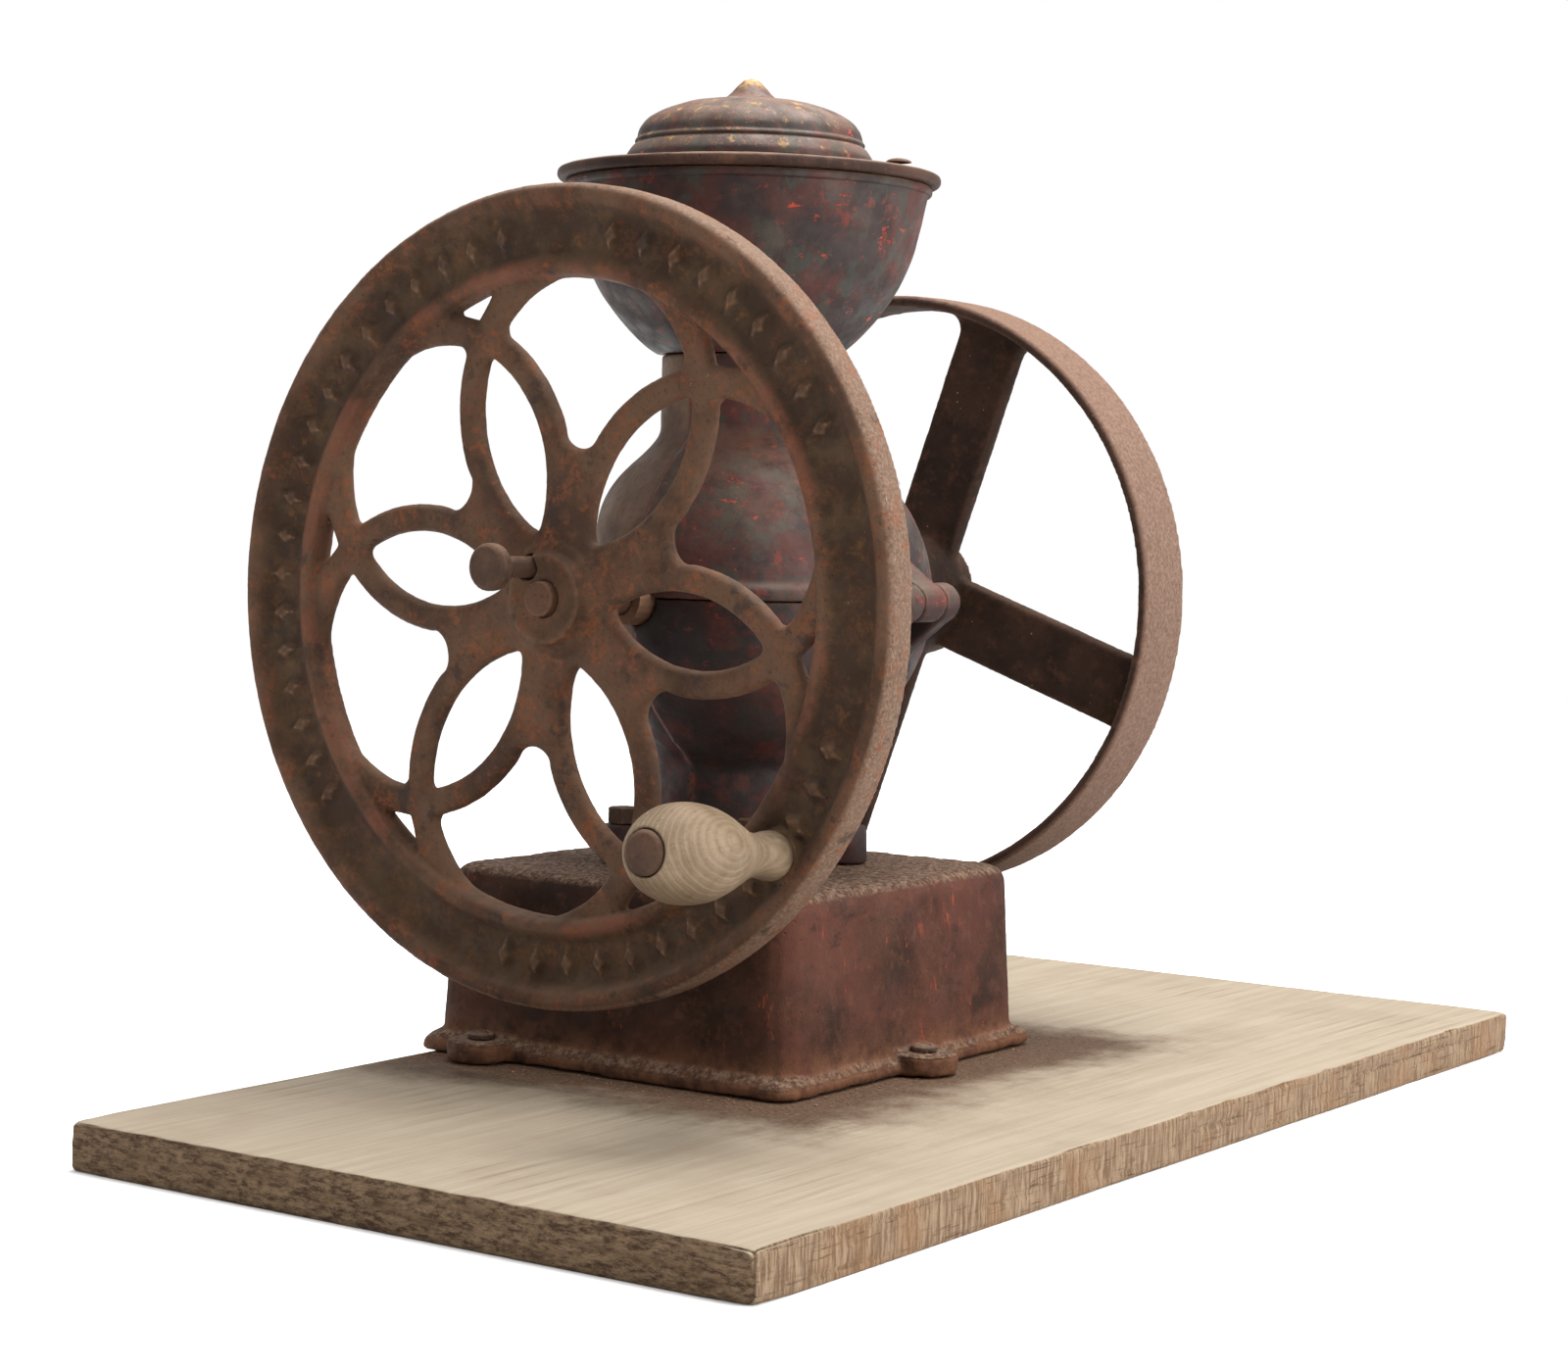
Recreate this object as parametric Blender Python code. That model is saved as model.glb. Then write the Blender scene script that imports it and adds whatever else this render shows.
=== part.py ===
"""Two-wheel counter grain mill screwed to its board.

World frame: metres, +Z up, the shaft runs along Y, the flywheel is at -Y and the belt pulley at +Y.
The origin is on the underside of the board, straight below the axis of the hopper.
"""
import bpy
import bmesh
from math import atan2, cos, pi, radians, sin, sqrt
from mathutils import Matrix

MM = 0.001
GAP = 0.3 * MM                      # clearance left between pieces that touch

# board
BOARD_T = 25 * MM
BOARD_X = (-117 * MM, 295 * MM)
BOARD_Y = (-392 * MM, 433 * MM)
BOARD_EDGE = 2 * MM

# base casting, heights above the board
BASE_FLANGE_X = 126.6 * MM
BASE_FLANGE_Y = 128 * MM
BASE_FLANGE_T = 10 * MM
BASE_FLANGE_R = 12 * MM
BASE_FLANGE_CHAMFER = 4 * MM
BASE_FOOT_HALF = 122 * MM
BASE_TOP_HALF = 118 * MM
BASE_CORNER_R = 20 * MM
BASE_H = 105 * MM
BASE_WALL = 7 * MM
BASE_TOP_ROUND = 9 * MM
LUG_R = 19 * MM
LUG_T = 12 * MM
LUGS = (("front", -75 * MM, -131 * MM), ("right", 130 * MM, 0.0), ("rear", -75 * MM, 131 * MM))
LUG_SCREW_R = 4 * MM
LUG_SCREW_HEAD_R = 8 * MM
LUG_SCREW_HEAD_H = 4 * MM
LUG_SCREW_DEPTH = 18 * MM

# drawer in the base
DRAWER_HALF_W = 84 * MM
DRAWER_H = 78 * MM
DRAWER_FRONT_X = -125 * MM
DRAWER_BACK_X = 96 * MM
DRAWER_WALL = 3 * MM
DRAWER_FACE_T = 5 * MM
DRAWER_FACE_HALF_W = 90 * MM
DRAWER_FACE_LOW = 12 * MM
DRAWER_FACE_H = 72 * MM
DRAWER_SLACK = 1.5 * MM
PULL_R = 13 * MM
PULL_L = 24 * MM
PULL_STEM_R = 2.5 * MM

# grinding body: a drum on edge, its round outline in the YZ plane centred on the shaft
SHAFT_Z = BOARD_T + 257.2 * MM
SHAFT_R = 9.5 * MM
DRUM_R = 101 * MM
DRUM_RIGHT = 95 * MM                # how far the squared half reaches towards +X at the seam
DRUM_SQUARE = 3.2                   # superellipse power of the squared half
BULGE_STEP = 5 * MM                 # how far the round half sits back from the drum's edge
BODY_FILLET = 18 * MM               # how gently the drum runs into the neck and the waist
SHELL = 8 * MM
NECK_R = 47 * MM
NECK_BORE_R = 38 * MM
NECK_TOP = BOARD_T + 392 * MM
WAIST_R = 41 * MM
WAIST_BORE_R = 32 * MM
FOOT_R = 57 * MM
FOOT_T = 11 * MM
FOOT_BOLT_XY = 45 * MM
FOOT_BOSS_R = 13 * MM
FOOT_BOSS_H = 22 * MM
FOOT_BOLT_R = 4.5 * MM
FOOT_HEAD_H = 9 * MM
FOOT_HEAD_R = 10 * MM
SEAM = 0.3 * MM
BEAD_OUT = 3 * MM
BEAD_H = 9 * MM

# hinge between the two halves of the body
HINGE_X = 121 * MM
HINGE_Z = SHAFT_Z + 0.3 * MM
KNUCKLE_R = 11 * MM
KNUCKLE_MID = 11 * MM
KNUCKLE_END = 25 * MM
HINGE_PIN_R = 4 * MM

# hopper, cover ring and lid, heights above the board
HOPPER_RIM_Z = 488 * MM
HOPPER_WALL = 4 * MM
RING_R = 108 * MM
RING_HOLE_R = 66 * MM
RING_TOP = 499 * MM
RING_PAD_R = 9 * MM
RING_SCREW_X = 92 * MM
RING_SCREW_Y = 12 * MM
HOPPER_FLOOR_Z = 398 * MM
HOPPER_SCREW_R = 43 * MM             # from the hopper's axis
HOPPER_SCREW_ANGLES = [radians(80 + 120 * i) for i in range(3)]
SMALL_SCREW_R = 2.2 * MM
SMALL_SCREW_HOLE_R = 2.5 * MM
LID_BASE_Z = 499.3 * MM
LID_SKIRT_Z = 494 * MM

# flywheel, distances from the shaft's centre and along it
WHEEL_R = 216 * MM
WHEEL_HOLE_R = 168 * MM
WEB_OUT_R = 181 * MM
WEB_MID = 163.5 * MM
WEB_HALF_T = 5.5 * MM
WEB_EDGE = 3.5 * MM
PETALS = 6
PETAL_TURN = radians(-9)
PETAL_IN = 36 * MM
PETAL_OUT = 136 * MM
PETAL_HALF_W = 19 * MM
PETAL_TIP_TRIM = 1.5 * MM
RIB_W = 15 * MM
GAP_ARC_C = 102 * MM
GAP_ARC_R = 68.5 * MM
GAP_NOSE_X = 88 * MM
GAP_NOSE_LEN = 8 * MM
TIP_APEX_R = 156 * MM
TIP_HALF_ANGLE = radians(6.2)
HUB_R = 24.5 * MM
HUB_FACE = 178 * MM
HUB_BACK = 146 * MM
KEY_HALF = 2.5 * MM

# lock screw in the hub
LOCK_R = 20 * MM
LOCK_TURN = radians(125)
LOCK_SHANK_R = 5.75 * MM
LOCK_HEAD_R = 12.5 * MM
LOCK_HEAD_T = 8 * MM
LOCK_HEAD_FACE = 210 * MM
LOCK_END = 152 * MM

# handle on the rim
HANDLE_X = 149.1 * MM
HANDLE_Z = BOARD_T + 134.5 * MM
HANDLE_Y = -171 * MM
HANDLE_LEAN = radians(5.4)
GRIP_START = 5 * MM
GRIP_LEN = 106 * MM
GRIP_BOLT_R = 5 * MM
GRIP_HEAD_R = 11.2 * MM
GRIP_HEAD_T = 6 * MM
RIM_BOSS_R = 14 * MM
RIM_BOSS_BACK = -14.2 * MM
NUT_R = 9.5 * MM
NUT_T = 7 * MM
BOLT_END = -24 * MM

# belt pulley
PULLEY_R = 180.5 * MM
PULLEY_CROWN = 0.4 * MM
PULLEY_HOLE_R = 172 * MM
PULLEY_NEAR = 150 * MM
PULLEY_FAR = 196.5 * MM
PULLEY_SPOKE_MID = 180 * MM
PULLEY_SPOKE_HALF_W = 22 * MM
PULLEY_SPOKE_T = 12 * MM
PULLEY_FILLET = 12 * MM
PULLEY_TURN = radians(70.5)
PULLEY_HUB_R = 38 * MM
PULLEY_HUB_NEAR = 146 * MM
PULLEY_HUB_FAR = 192.5 * MM
SET_SCREW_AT = 158 * MM
SET_SCREW_R = 4 * MM
SET_SCREW_HEAD = 5 * MM

# shaft and grinding gear, distances along the shaft towards the flywheel
SHAFT_FRONT = 181.5 * MM
SHAFT_REAR = -200 * MM
BUSH_R = 15 * MM
BUSH_IN = 80 * MM
BUSH_OUT = 113 * MM
COLLAR_R = 17 * MM
COLLAR_AT = 70 * MM
BURR_R = 38 * MM
BURR_SCREW_R = 31.5 * MM
BURR_T = 11 * MM
BURR_FACE = 30 * MM                 # plane where the two burrs meet
BURR_TEETH = 12
BURR_TOOTH = 1.2 * MM
FEED_START = -52 * MM
FEED_SLEEVE_R = 12 * MM
FEED_R = 19.5 * MM
FEED_PITCH = 28 * MM
FEED_TURNS = 2.7
CASE_IN_R = 20.5 * MM
CASE_OUT_R = 25 * MM
CASE_BACK = -58 * MM
CASE_FLANGE_T = 6 * MM
SADDLE_DROP = 42 * MM

STEPS = 32
RIM_STEPS = 48
BOWL_STEPS = 36
HIDDEN_STEPS = 24
BORE_PHASE = 0.37                   # fraction of a facet

IRON = ((0.110, 0.050, 0.038, 1), 0.75, 0.35)
RED_IRON = ((0.120, 0.030, 0.024, 1), 0.6, 0.3)
STEEL = ((0.150, 0.095, 0.070, 1), 0.55, 0.6)
BURR_IRON = ((0.200, 0.180, 0.165, 1), 0.5, 0.7)
OLD_WOOD = ((0.420, 0.350, 0.270, 1), 0.85, 0.0)
TURNED_WOOD = ((0.480, 0.400, 0.300, 1), 0.7, 0.0)
TIN = ((0.300, 0.280, 0.260, 1), 0.5, 0.8)

ALONG_SHAFT = Matrix.Rotation(radians(90), 4, "X")      # local +Z points along world -Y


def clear_scene():
    for obj in list(bpy.data.objects):
        bpy.data.objects.remove(obj, do_unlink=True)


def material(name, look):
    colour, rough, metal = look
    mat = bpy.data.materials.new(name)
    mat.use_nodes = True
    shader = mat.node_tree.nodes["Principled BSDF"]
    shader.inputs["Base Color"].default_value = colour
    shader.inputs["Roughness"].default_value = rough
    shader.inputs["Metallic"].default_value = metal
    return mat


# ---------- mesh helpers: each returns a bmesh of one closed body ----------

def loft(rings):
    """Closed skin through rings that all have the same number of points."""
    bm = bmesh.new()
    rows = [[bm.verts.new(p) for p in ring] for ring in rings]
    count = len(rows[0])
    for low, high in zip(rows, rows[1:]):
        for i in range(count):
            j = (i + 1) % count
            bm.faces.new((low[i], low[j], high[j], high[i]))
    bm.faces.new(rows[0][::-1])
    bm.faces.new(rows[-1])
    bmesh.ops.recalc_face_normals(bm, faces=bm.faces)
    return bm


def prism(points, z0, z1):
    return loft([[(x, y, z) for x, y in points] for z in (z0, z1)])


def circle(radius, steps=STEPS, cx=0.0, cy=0.0):
    return [(cx + radius * cos(2 * pi * i / steps), cy + radius * sin(2 * pi * i / steps))
            for i in range(steps)]


def cylinder(radius, z0, z1, steps=STEPS, cx=0.0, cy=0.0):
    return prism(circle(radius, steps, cx, cy), z0, z1)


def turned(points, angle):
    return [(x * cos(angle) - y * sin(angle), x * sin(angle) + y * cos(angle)) for x, y in points]


def drill(radius, z0, z1, steps=24, cx=0.0, cy=0.0):
    """Cylinder for a bore, its corners turned off the corners of the turned body it cuts."""
    points = turned(circle(radius, steps), 2 * pi * BORE_PHASE / steps)
    return prism([(x + cx, y + cy) for x, y in points], z0, z1)


def box(x0, x1, y0, y1, z0, z1):
    return prism([(x0, y0), (x1, y0), (x1, y1), (x0, y1)], z0, z1)


def rounded_rect(hx, hy, radius, steps=4):
    points = []
    for sx, sy, start in ((1, 1, 0), (-1, 1, 90), (-1, -1, 180), (1, -1, 270)):
        for i in range(steps + 1):
            a = radians(start + 90 * i / steps)
            points.append((sx * (hx - radius) + radius * cos(a), sy * (hy - radius) + radius * sin(a)))
    return points


def lathe(profile, steps=STEPS, ring=False):
    """Turn (r, z) points about Z. A solid's profile runs from axis to axis, a ring's closes on itself."""
    bm = bmesh.new()
    columns = []
    for r, z in profile:
        if r < 1e-9:
            columns.append([bm.verts.new((0, 0, z))])
        else:
            columns.append([bm.verts.new((r * cos(2 * pi * i / steps), r * sin(2 * pi * i / steps), z))
                            for i in range(steps)])
    pairs = list(zip(columns, columns[1:]))
    if ring:
        pairs.append((columns[-1], columns[0]))
    for a, b in pairs:
        for i in range(steps):
            j = (i + 1) % steps
            if len(a) == 1:
                bm.faces.new((a[0], b[i], b[j]))
            elif len(b) == 1:
                bm.faces.new((a[i], b[0], a[j]))
            else:
                bm.faces.new((a[i], b[i], b[j], a[j]))
    bmesh.ops.recalc_face_normals(bm, faces=bm.faces)
    return bm


def tube(inner, outer, z0, z1, steps=STEPS):
    return lathe([(inner, z0), (outer, z0), (outer, z1), (inner, z1)], steps, ring=True)


def moved(bm, matrix):
    bmesh.ops.transform(bm, matrix=matrix, verts=bm.verts)
    return bm


def shifted(bm, x, y, z):
    return moved(bm, Matrix.Translation((x, y, z)))


def scratch(bm):
    """Temporary object for a boolean operand."""
    mesh = bpy.data.meshes.new("operand")
    bm.to_mesh(mesh)
    bm.free()
    obj = bpy.data.objects.new("operand", mesh)
    obj.hide_render = True
    obj.display_type = "WIRE"
    bpy.context.scene.collection.objects.link(obj)
    return obj


def combine(body, adds=(), cuts=()):
    """One bmesh: body, joined with the adds, then with the cuts taken away."""
    base = scratch(body)
    operands = []
    for operation, group in (("UNION", adds), ("DIFFERENCE", cuts)):
        for bm in group:
            other = scratch(bm)
            operands.append(other)
            modifier = base.modifiers.new("step", "BOOLEAN")
            modifier.operation = operation
            modifier.solver = "EXACT"
            modifier.object = other
    depsgraph = bpy.context.evaluated_depsgraph_get()
    result = bpy.data.meshes.new_from_object(base.evaluated_get(depsgraph))
    out = bmesh.new()
    out.from_mesh(result)
    bmesh.ops.remove_doubles(out, verts=out.verts, dist=1e-6)
    for obj in operands + [base]:
        bpy.data.objects.remove(obj, do_unlink=True)
    bpy.data.meshes.remove(result)
    return out


def place(name, bm, look, location=(0, 0, 0), rotation=(0, 0, 0), smooth_angle=35):
    """Add the finished body to the scene under its own name, round faces shaded smooth."""
    mesh = bpy.data.meshes.new(name)
    bmesh.ops.recalc_face_normals(bm, faces=bm.faces)
    for face in bm.faces:
        face.smooth = True
    for edge in bm.edges:
        edge.smooth = len(edge.link_faces) == 2 and edge.calc_face_angle(0) < radians(smooth_angle)
    bm.to_mesh(mesh)
    bm.free()
    mesh.materials.append(material(name, look))
    obj = bpy.data.objects.new(name, mesh)
    obj.location = location
    obj.rotation_euler = rotation
    bpy.context.scene.collection.objects.link(obj)
    return obj


def place_on_shaft(name, bm, look):
    return place(name, bm, look, (0, 0, SHAFT_Z), (radians(90), 0, 0))


# ---------- board and base ----------

def build_board():
    bm = box(*BOARD_X, *BOARD_Y, 0, BOARD_T)
    top_edges = [e for e in bm.edges if all(v.co.z > BOARD_T / 2 for v in e.verts)]
    corner_edges = [e for e in bm.edges if e.verts[0].co.z != e.verts[1].co.z]
    bmesh.ops.bevel(bm, geom=top_edges + corner_edges, offset=BOARD_EDGE, segments=2, profile=0.5,
                    affect="EDGES")
    holes = [shifted(drill(LUG_SCREW_R + GAP, -LUG_SCREW_DEPTH, MM, 16), x, y, BOARD_T)
             for _, x, y in LUGS]
    place("board", combine(bm, cuts=holes), OLD_WOOD)


def base_section(half, z, inset=0.0):
    return [(x, y, z) for x, y in rounded_rect(half - inset, half - inset, BASE_CORNER_R - inset / 2)]


def flange_section(z, inset):
    return [(x, y, z) for x, y in rounded_rect(BASE_FLANGE_X - inset, BASE_FLANGE_Y - inset,
                                                BASE_FLANGE_R)]


def build_base():
    z0 = BOARD_T + GAP
    top = BOARD_T + BASE_H
    shell = [base_section(BASE_FOOT_HALF, z0), base_section(BASE_TOP_HALF, top - BASE_TOP_ROUND)]
    for i in range(1, 4):
        a = radians(30 * i)
        shell.append(base_section(BASE_TOP_HALF, top - BASE_TOP_ROUND * (1 - sin(a)),
                                  BASE_TOP_ROUND * (1 - cos(a))))
    adds = [loft([flange_section(z0, 0.0), flange_section(z0 + BASE_FLANGE_T * 0.6, 0.0),
                  flange_section(z0 + BASE_FLANGE_T, BASE_FLANGE_CHAMFER)])]
    cuts = [loft([base_section(BASE_FOOT_HALF - BASE_WALL, z0 - MM),
                  base_section(BASE_TOP_HALF - BASE_WALL, top - BASE_WALL)])]
    for _, x, y in LUGS:
        adds.append(shifted(cylinder(LUG_R, 0, LUG_T, 24), x, y, z0))
        cuts.append(shifted(drill(LUG_SCREW_R + GAP, -MM, LUG_T + MM, 16), x, y, z0))
    cuts.append(box(-BASE_FLANGE_X - 5 * MM, -BASE_TOP_HALF + 2 * BASE_WALL,
                    -DRAWER_HALF_W - DRAWER_SLACK, DRAWER_HALF_W + DRAWER_SLACK,
                    0, BOARD_T + DRAWER_H + 2 * DRAWER_SLACK))
    cuts.append(cylinder(WAIST_BORE_R, top - 2 * BASE_WALL, top + MM))
    for sx in (-1, 1):
        for sy in (-1, 1):
            cuts.append(shifted(drill(FOOT_BOLT_R + GAP, -2 * BASE_WALL, MM, 16),
                                sx * FOOT_BOLT_XY, sy * FOOT_BOLT_XY, top))
    place("base_box", combine(loft(shell), adds, cuts), IRON)


def build_lug_screws():
    z0 = BOARD_T + GAP + LUG_T + GAP
    tip = -LUG_T - LUG_SCREW_DEPTH + 2 * GAP
    for label, x, y in LUGS:
        profile = [(0, tip), (LUG_SCREW_R * 0.6, tip), (LUG_SCREW_R, tip + 3 * MM), (LUG_SCREW_R, 0),
                   (LUG_SCREW_HEAD_R, 0), (LUG_SCREW_HEAD_R * 0.9, LUG_SCREW_HEAD_H * 0.6),
                   (LUG_SCREW_HEAD_R * 0.5, LUG_SCREW_HEAD_H), (0, LUG_SCREW_HEAD_H)]
        slot = box(-LUG_SCREW_HEAD_R, LUG_SCREW_HEAD_R, -0.8 * MM, 0.8 * MM,
                   LUG_SCREW_HEAD_H - 1.5 * MM, LUG_SCREW_HEAD_H + MM)
        place("lug_screw_" + label, combine(lathe(profile, 16), cuts=[slot]), STEEL, (x, y, z0))


def drawer_face_section(out, inset):
    """Outline of the drawer's face, out from its back plane, centred on it."""
    outline = rounded_rect(DRAWER_FACE_HALF_W - inset, DRAWER_FACE_H / 2 - inset, 5 * MM)
    return [(-out, y, z) for y, z in outline]


def pull_hole(z):
    return moved(drill(PULL_STEM_R + GAP, -10 * MM, 10 * MM, 12),
                 Matrix.Translation((DRAWER_FRONT_X, 0, z)) @ Matrix.Rotation(pi / 2, 4, "Y"))


def build_drawer():
    z0 = BOARD_T + DRAWER_SLACK
    tray = box(DRAWER_FRONT_X + GAP, DRAWER_BACK_X, -DRAWER_HALF_W, DRAWER_HALF_W, z0, z0 + DRAWER_H)
    room = box(DRAWER_FRONT_X + DRAWER_WALL, DRAWER_BACK_X - DRAWER_WALL,
               -DRAWER_HALF_W + DRAWER_WALL, DRAWER_HALF_W - DRAWER_WALL,
               z0 + DRAWER_WALL, z0 + DRAWER_H + MM)
    pull_z = z0 + DRAWER_H / 2
    place("drawer_tray", combine(tray, cuts=[room, pull_hole(pull_z)]), TIN)

    face = shifted(loft([drawer_face_section(0.0, 0.0), drawer_face_section(DRAWER_FACE_T * 0.6, 0.0),
                         drawer_face_section(DRAWER_FACE_T, 2 * MM)]),
                   DRAWER_FRONT_X, 0, BOARD_T + DRAWER_FACE_LOW + DRAWER_FACE_H / 2)
    place("drawer_front", combine(face, cuts=[pull_hole(pull_z)]), IRON)

    inner_end = -DRAWER_FACE_T - DRAWER_WALL
    pull = [(0, inner_end), (PULL_STEM_R, inner_end), (PULL_STEM_R, GAP), (6 * MM, GAP),
            (5 * MM, PULL_L * 0.4), (PULL_R, PULL_L * 0.6), (PULL_R, PULL_L * 0.8),
            (PULL_R * 0.6, PULL_L), (0, PULL_L)]
    place("drawer_pull", lathe(pull, 24), STEEL, (DRAWER_FRONT_X - DRAWER_FACE_T, 0, pull_z),
          (0, -pi / 2, 0))


# ---------- grinding body ----------

def drum_half_depth(z):
    """Half depth along Y of the drum's round edge at height z."""
    return sqrt(max(DRUM_R ** 2 - (z - SHAFT_Z) ** 2, 0.0))


def smooth_step(t):
    t = min(max(t, 0.0), 1.0)
    return t * t * (3 - 2 * t)


def blend(a, b):
    """The larger of two lengths, rounded off where they are nearly equal."""
    closeness = max(1 - abs(a - b) / BODY_FILLET, 0.0)
    return max(a, b) + closeness ** 2 * BODY_FILLET / 4


def body_sizes(z):
    """Right reach, depth, left reach and left depth of the body's outline at height z."""
    rise = z - SHAFT_Z
    depth = drum_half_depth(z)
    right = DRUM_RIGHT * depth / DRUM_R
    if rise >= 0:
        round_r = NECK_R
        left = 62 * MM + 18 * MM * sin(pi * min(rise, 100 * MM) / (100 * MM))
        left *= sqrt(max(1 - (rise / (96 * MM)) ** 4, 0.0))
    else:
        round_r = WAIST_R + 3 * MM * smooth_step(-rise / (110 * MM) - 0.2) - 3 * MM * smooth_step(
            (-rise - 90 * MM) / (30 * MM))
        drop = smooth_step(-rise / (30 * MM))
        left = (62 * (1 - drop) + 46 * drop) * MM
    left_depth = depth - BULGE_STEP
    return (blend(right, round_r), blend(depth, round_r), blend(left, round_r),
            blend(left_depth, round_r), round_r)


def body_outline(z, inset=0.0, bead=0.0, half_points=9):
    """Squared half towards +X, round half towards -X, with a step between them at x = 0."""
    right, depth, left, left_depth, round_r = body_sizes(z)
    right, depth = right + bead, depth + bead
    squareness = 2 + (DRUM_SQUARE - 2) * smooth_step((depth - round_r) / (30 * MM))
    points = []
    for i in range(half_points + 1):
        a = -pi / 2 + pi * i / half_points
        c, s = cos(a), sin(a)
        points.append(((right - inset) * abs(c) ** (2 / squareness),
                       (depth - inset) * (1 if s > 0 else -1) * abs(s) ** (2 / squareness), z))
    for i in range(half_points + 1):
        a = pi / 2 + pi * i / half_points
        x = (left - inset) * cos(a)
        points.append((min(x, -0.05 * MM), (left_depth - inset) * sin(a), z))
    return points


def body_loft(z_from, z_to, steps, inset=0.0, lead=()):
    """Skin between two heights; lead gives extra (height, bead) rings before the even ones."""
    rings = [body_outline(z, inset, bead) for z, bead in lead]
    rings += [body_outline(z_from + (z_to - z_from) * i / steps, inset) for i in range(steps + 1)]
    return loft(rings)


def shaft_bore(radius, z0, z1, steps=HIDDEN_STEPS):
    return moved(drill(radius, z0, z1, steps), Matrix.Translation((0, 0, SHAFT_Z)) @ ALONG_SHAFT)


def hinge_barrel(y0, y1, radius=KNUCKLE_R, steps=24):
    return moved(drill(radius, -y1, -y0, steps),
                 Matrix.Translation((HINGE_X, 0, HINGE_Z)) @ ALONG_SHAFT)


def web_plate(points_xz, y0, y1):
    return loft([[(x, y, z) for x, z in points_xz] for y in (y0, y1)])


def build_lower_body():
    foot_z = BOARD_T + BASE_H + GAP
    seam_z = SHAFT_Z
    body = body_loft(foot_z, seam_z, 14)
    adds = [cylinder(FOOT_R, foot_z, foot_z + FOOT_T)]
    cuts = [body_loft(SHAFT_Z - 60 * MM, seam_z + MM, 4, SHELL),
            cylinder(WAIST_BORE_R, foot_z - MM, SHAFT_Z - 55 * MM),
            shaft_bore(BUSH_R + GAP, -130 * MM, 130 * MM)]
    for sx in (-1, 1):
        for sy in (-1, 1):
            x, y = sx * FOOT_BOLT_XY, sy * FOOT_BOLT_XY
            adds.append(shifted(cylinder(FOOT_BOSS_R, 0, FOOT_BOSS_H, 16), x, y, foot_z))
            cuts.append(shifted(drill(FOOT_BOLT_R + GAP, -MM, FOOT_BOSS_H + MM, 16), x, y, foot_z))
    low = HINGE_Z - KNUCKLE_R
    for side in (-1, 1):
        y0, y1 = sorted((side * (KNUCKLE_MID + GAP), side * KNUCKLE_END))
        adds.append(hinge_barrel(y0, y1))
        adds.append(web_plate([(DRUM_RIGHT - 14 * MM, low - 36 * MM), (HINGE_X + 4 * MM, low + 0.7 * MM),
                               (HINGE_X + 4 * MM, seam_z - MM), (DRUM_RIGHT - 14 * MM, seam_z - MM)],
                              y0 + MM, y1 - MM))
    cuts.append(hinge_barrel(-60 * MM, 60 * MM, HINGE_PIN_R + GAP, 16))
    shell = combine(body, adds, cuts)
    saddle = box(-44 * MM, DRUM_RIGHT - 14 * MM, 8 * MM, 28 * MM,
                 SHAFT_Z - SADDLE_DROP, SHAFT_Z - 12 * MM)
    shell = combine(shell, [saddle], [shaft_bore(CASE_OUT_R + GAP, -60 * MM, 60 * MM)])
    place("lower_body", shell, RED_IRON)


def build_foot_bolts():
    z0 = BOARD_T + BASE_H + FOOT_BOSS_H + 2 * GAP
    length = FOOT_BOSS_H + BASE_WALL + 6 * MM
    names = ("front_left", "front_right", "rear_left", "rear_right")
    spots = ((-1, -1), (1, -1), (-1, 1), (1, 1))
    for name, (sx, sy) in zip(names, spots):
        head = cylinder(FOOT_HEAD_R, 0, FOOT_HEAD_H, 6)
        bm = combine(head, adds=[cylinder(FOOT_BOLT_R, -length, 0.5 * MM, 16)])
        place("foot_bolt_" + name, bm, STEEL, (sx * FOOT_BOLT_XY, sy * FOOT_BOLT_XY, z0))


def build_upper_body():
    seam_z = SHAFT_Z + SEAM
    bead = [(seam_z, BEAD_OUT * 0.6), (seam_z + 2 * MM, BEAD_OUT), (seam_z + 6 * MM, BEAD_OUT)]
    body = body_loft(seam_z + BEAD_H, NECK_TOP, 15, lead=bead)
    adds = []
    cuts = [body_loft(seam_z - MM, SHAFT_Z + 80 * MM, 6, SHELL),
            cylinder(NECK_BORE_R, SHAFT_Z + 70 * MM, NECK_TOP + MM),
            shaft_bore(BUSH_R + GAP, -130 * MM, 130 * MM)]
    mid = KNUCKLE_MID - GAP
    adds.append(hinge_barrel(-mid, mid))
    adds.append(web_plate([(DRUM_RIGHT - 7 * MM, seam_z + MM), (HINGE_X - 2 * MM, seam_z + MM),
                           (HINGE_X + 3 * MM, HINGE_Z + KNUCKLE_R - 0.7 * MM),
                           (DRUM_RIGHT - 16 * MM, HINGE_Z + KNUCKLE_R + 34 * MM)], MM - mid, mid - MM))
    cuts.append(hinge_barrel(-60 * MM, 60 * MM, HINGE_PIN_R + GAP, 16))
    for a in HOPPER_SCREW_ANGLES:
        cuts.append(shifted(drill(SMALL_SCREW_HOLE_R, -12 * MM, MM, 12),
                            HOPPER_SCREW_R * cos(a), HOPPER_SCREW_R * sin(a), NECK_TOP))
    place("upper_body", combine(body, adds, cuts), RED_IRON, smooth_angle=40)


def build_hinge_pin():
    half = KNUCKLE_END + GAP
    profile = [(0, -half - 3 * MM), (5 * MM, -half - 3 * MM), (6 * MM, -half), (HINGE_PIN_R, -half),
               (HINGE_PIN_R, half), (6 * MM, half), (5 * MM, half + 3 * MM), (0, half + 3 * MM)]
    place("hinge_pin", lathe(profile, 16), STEEL, (HINGE_X, 0, HINGE_Z), (radians(90), 0, 0))


# ---------- hopper ----------

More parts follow.
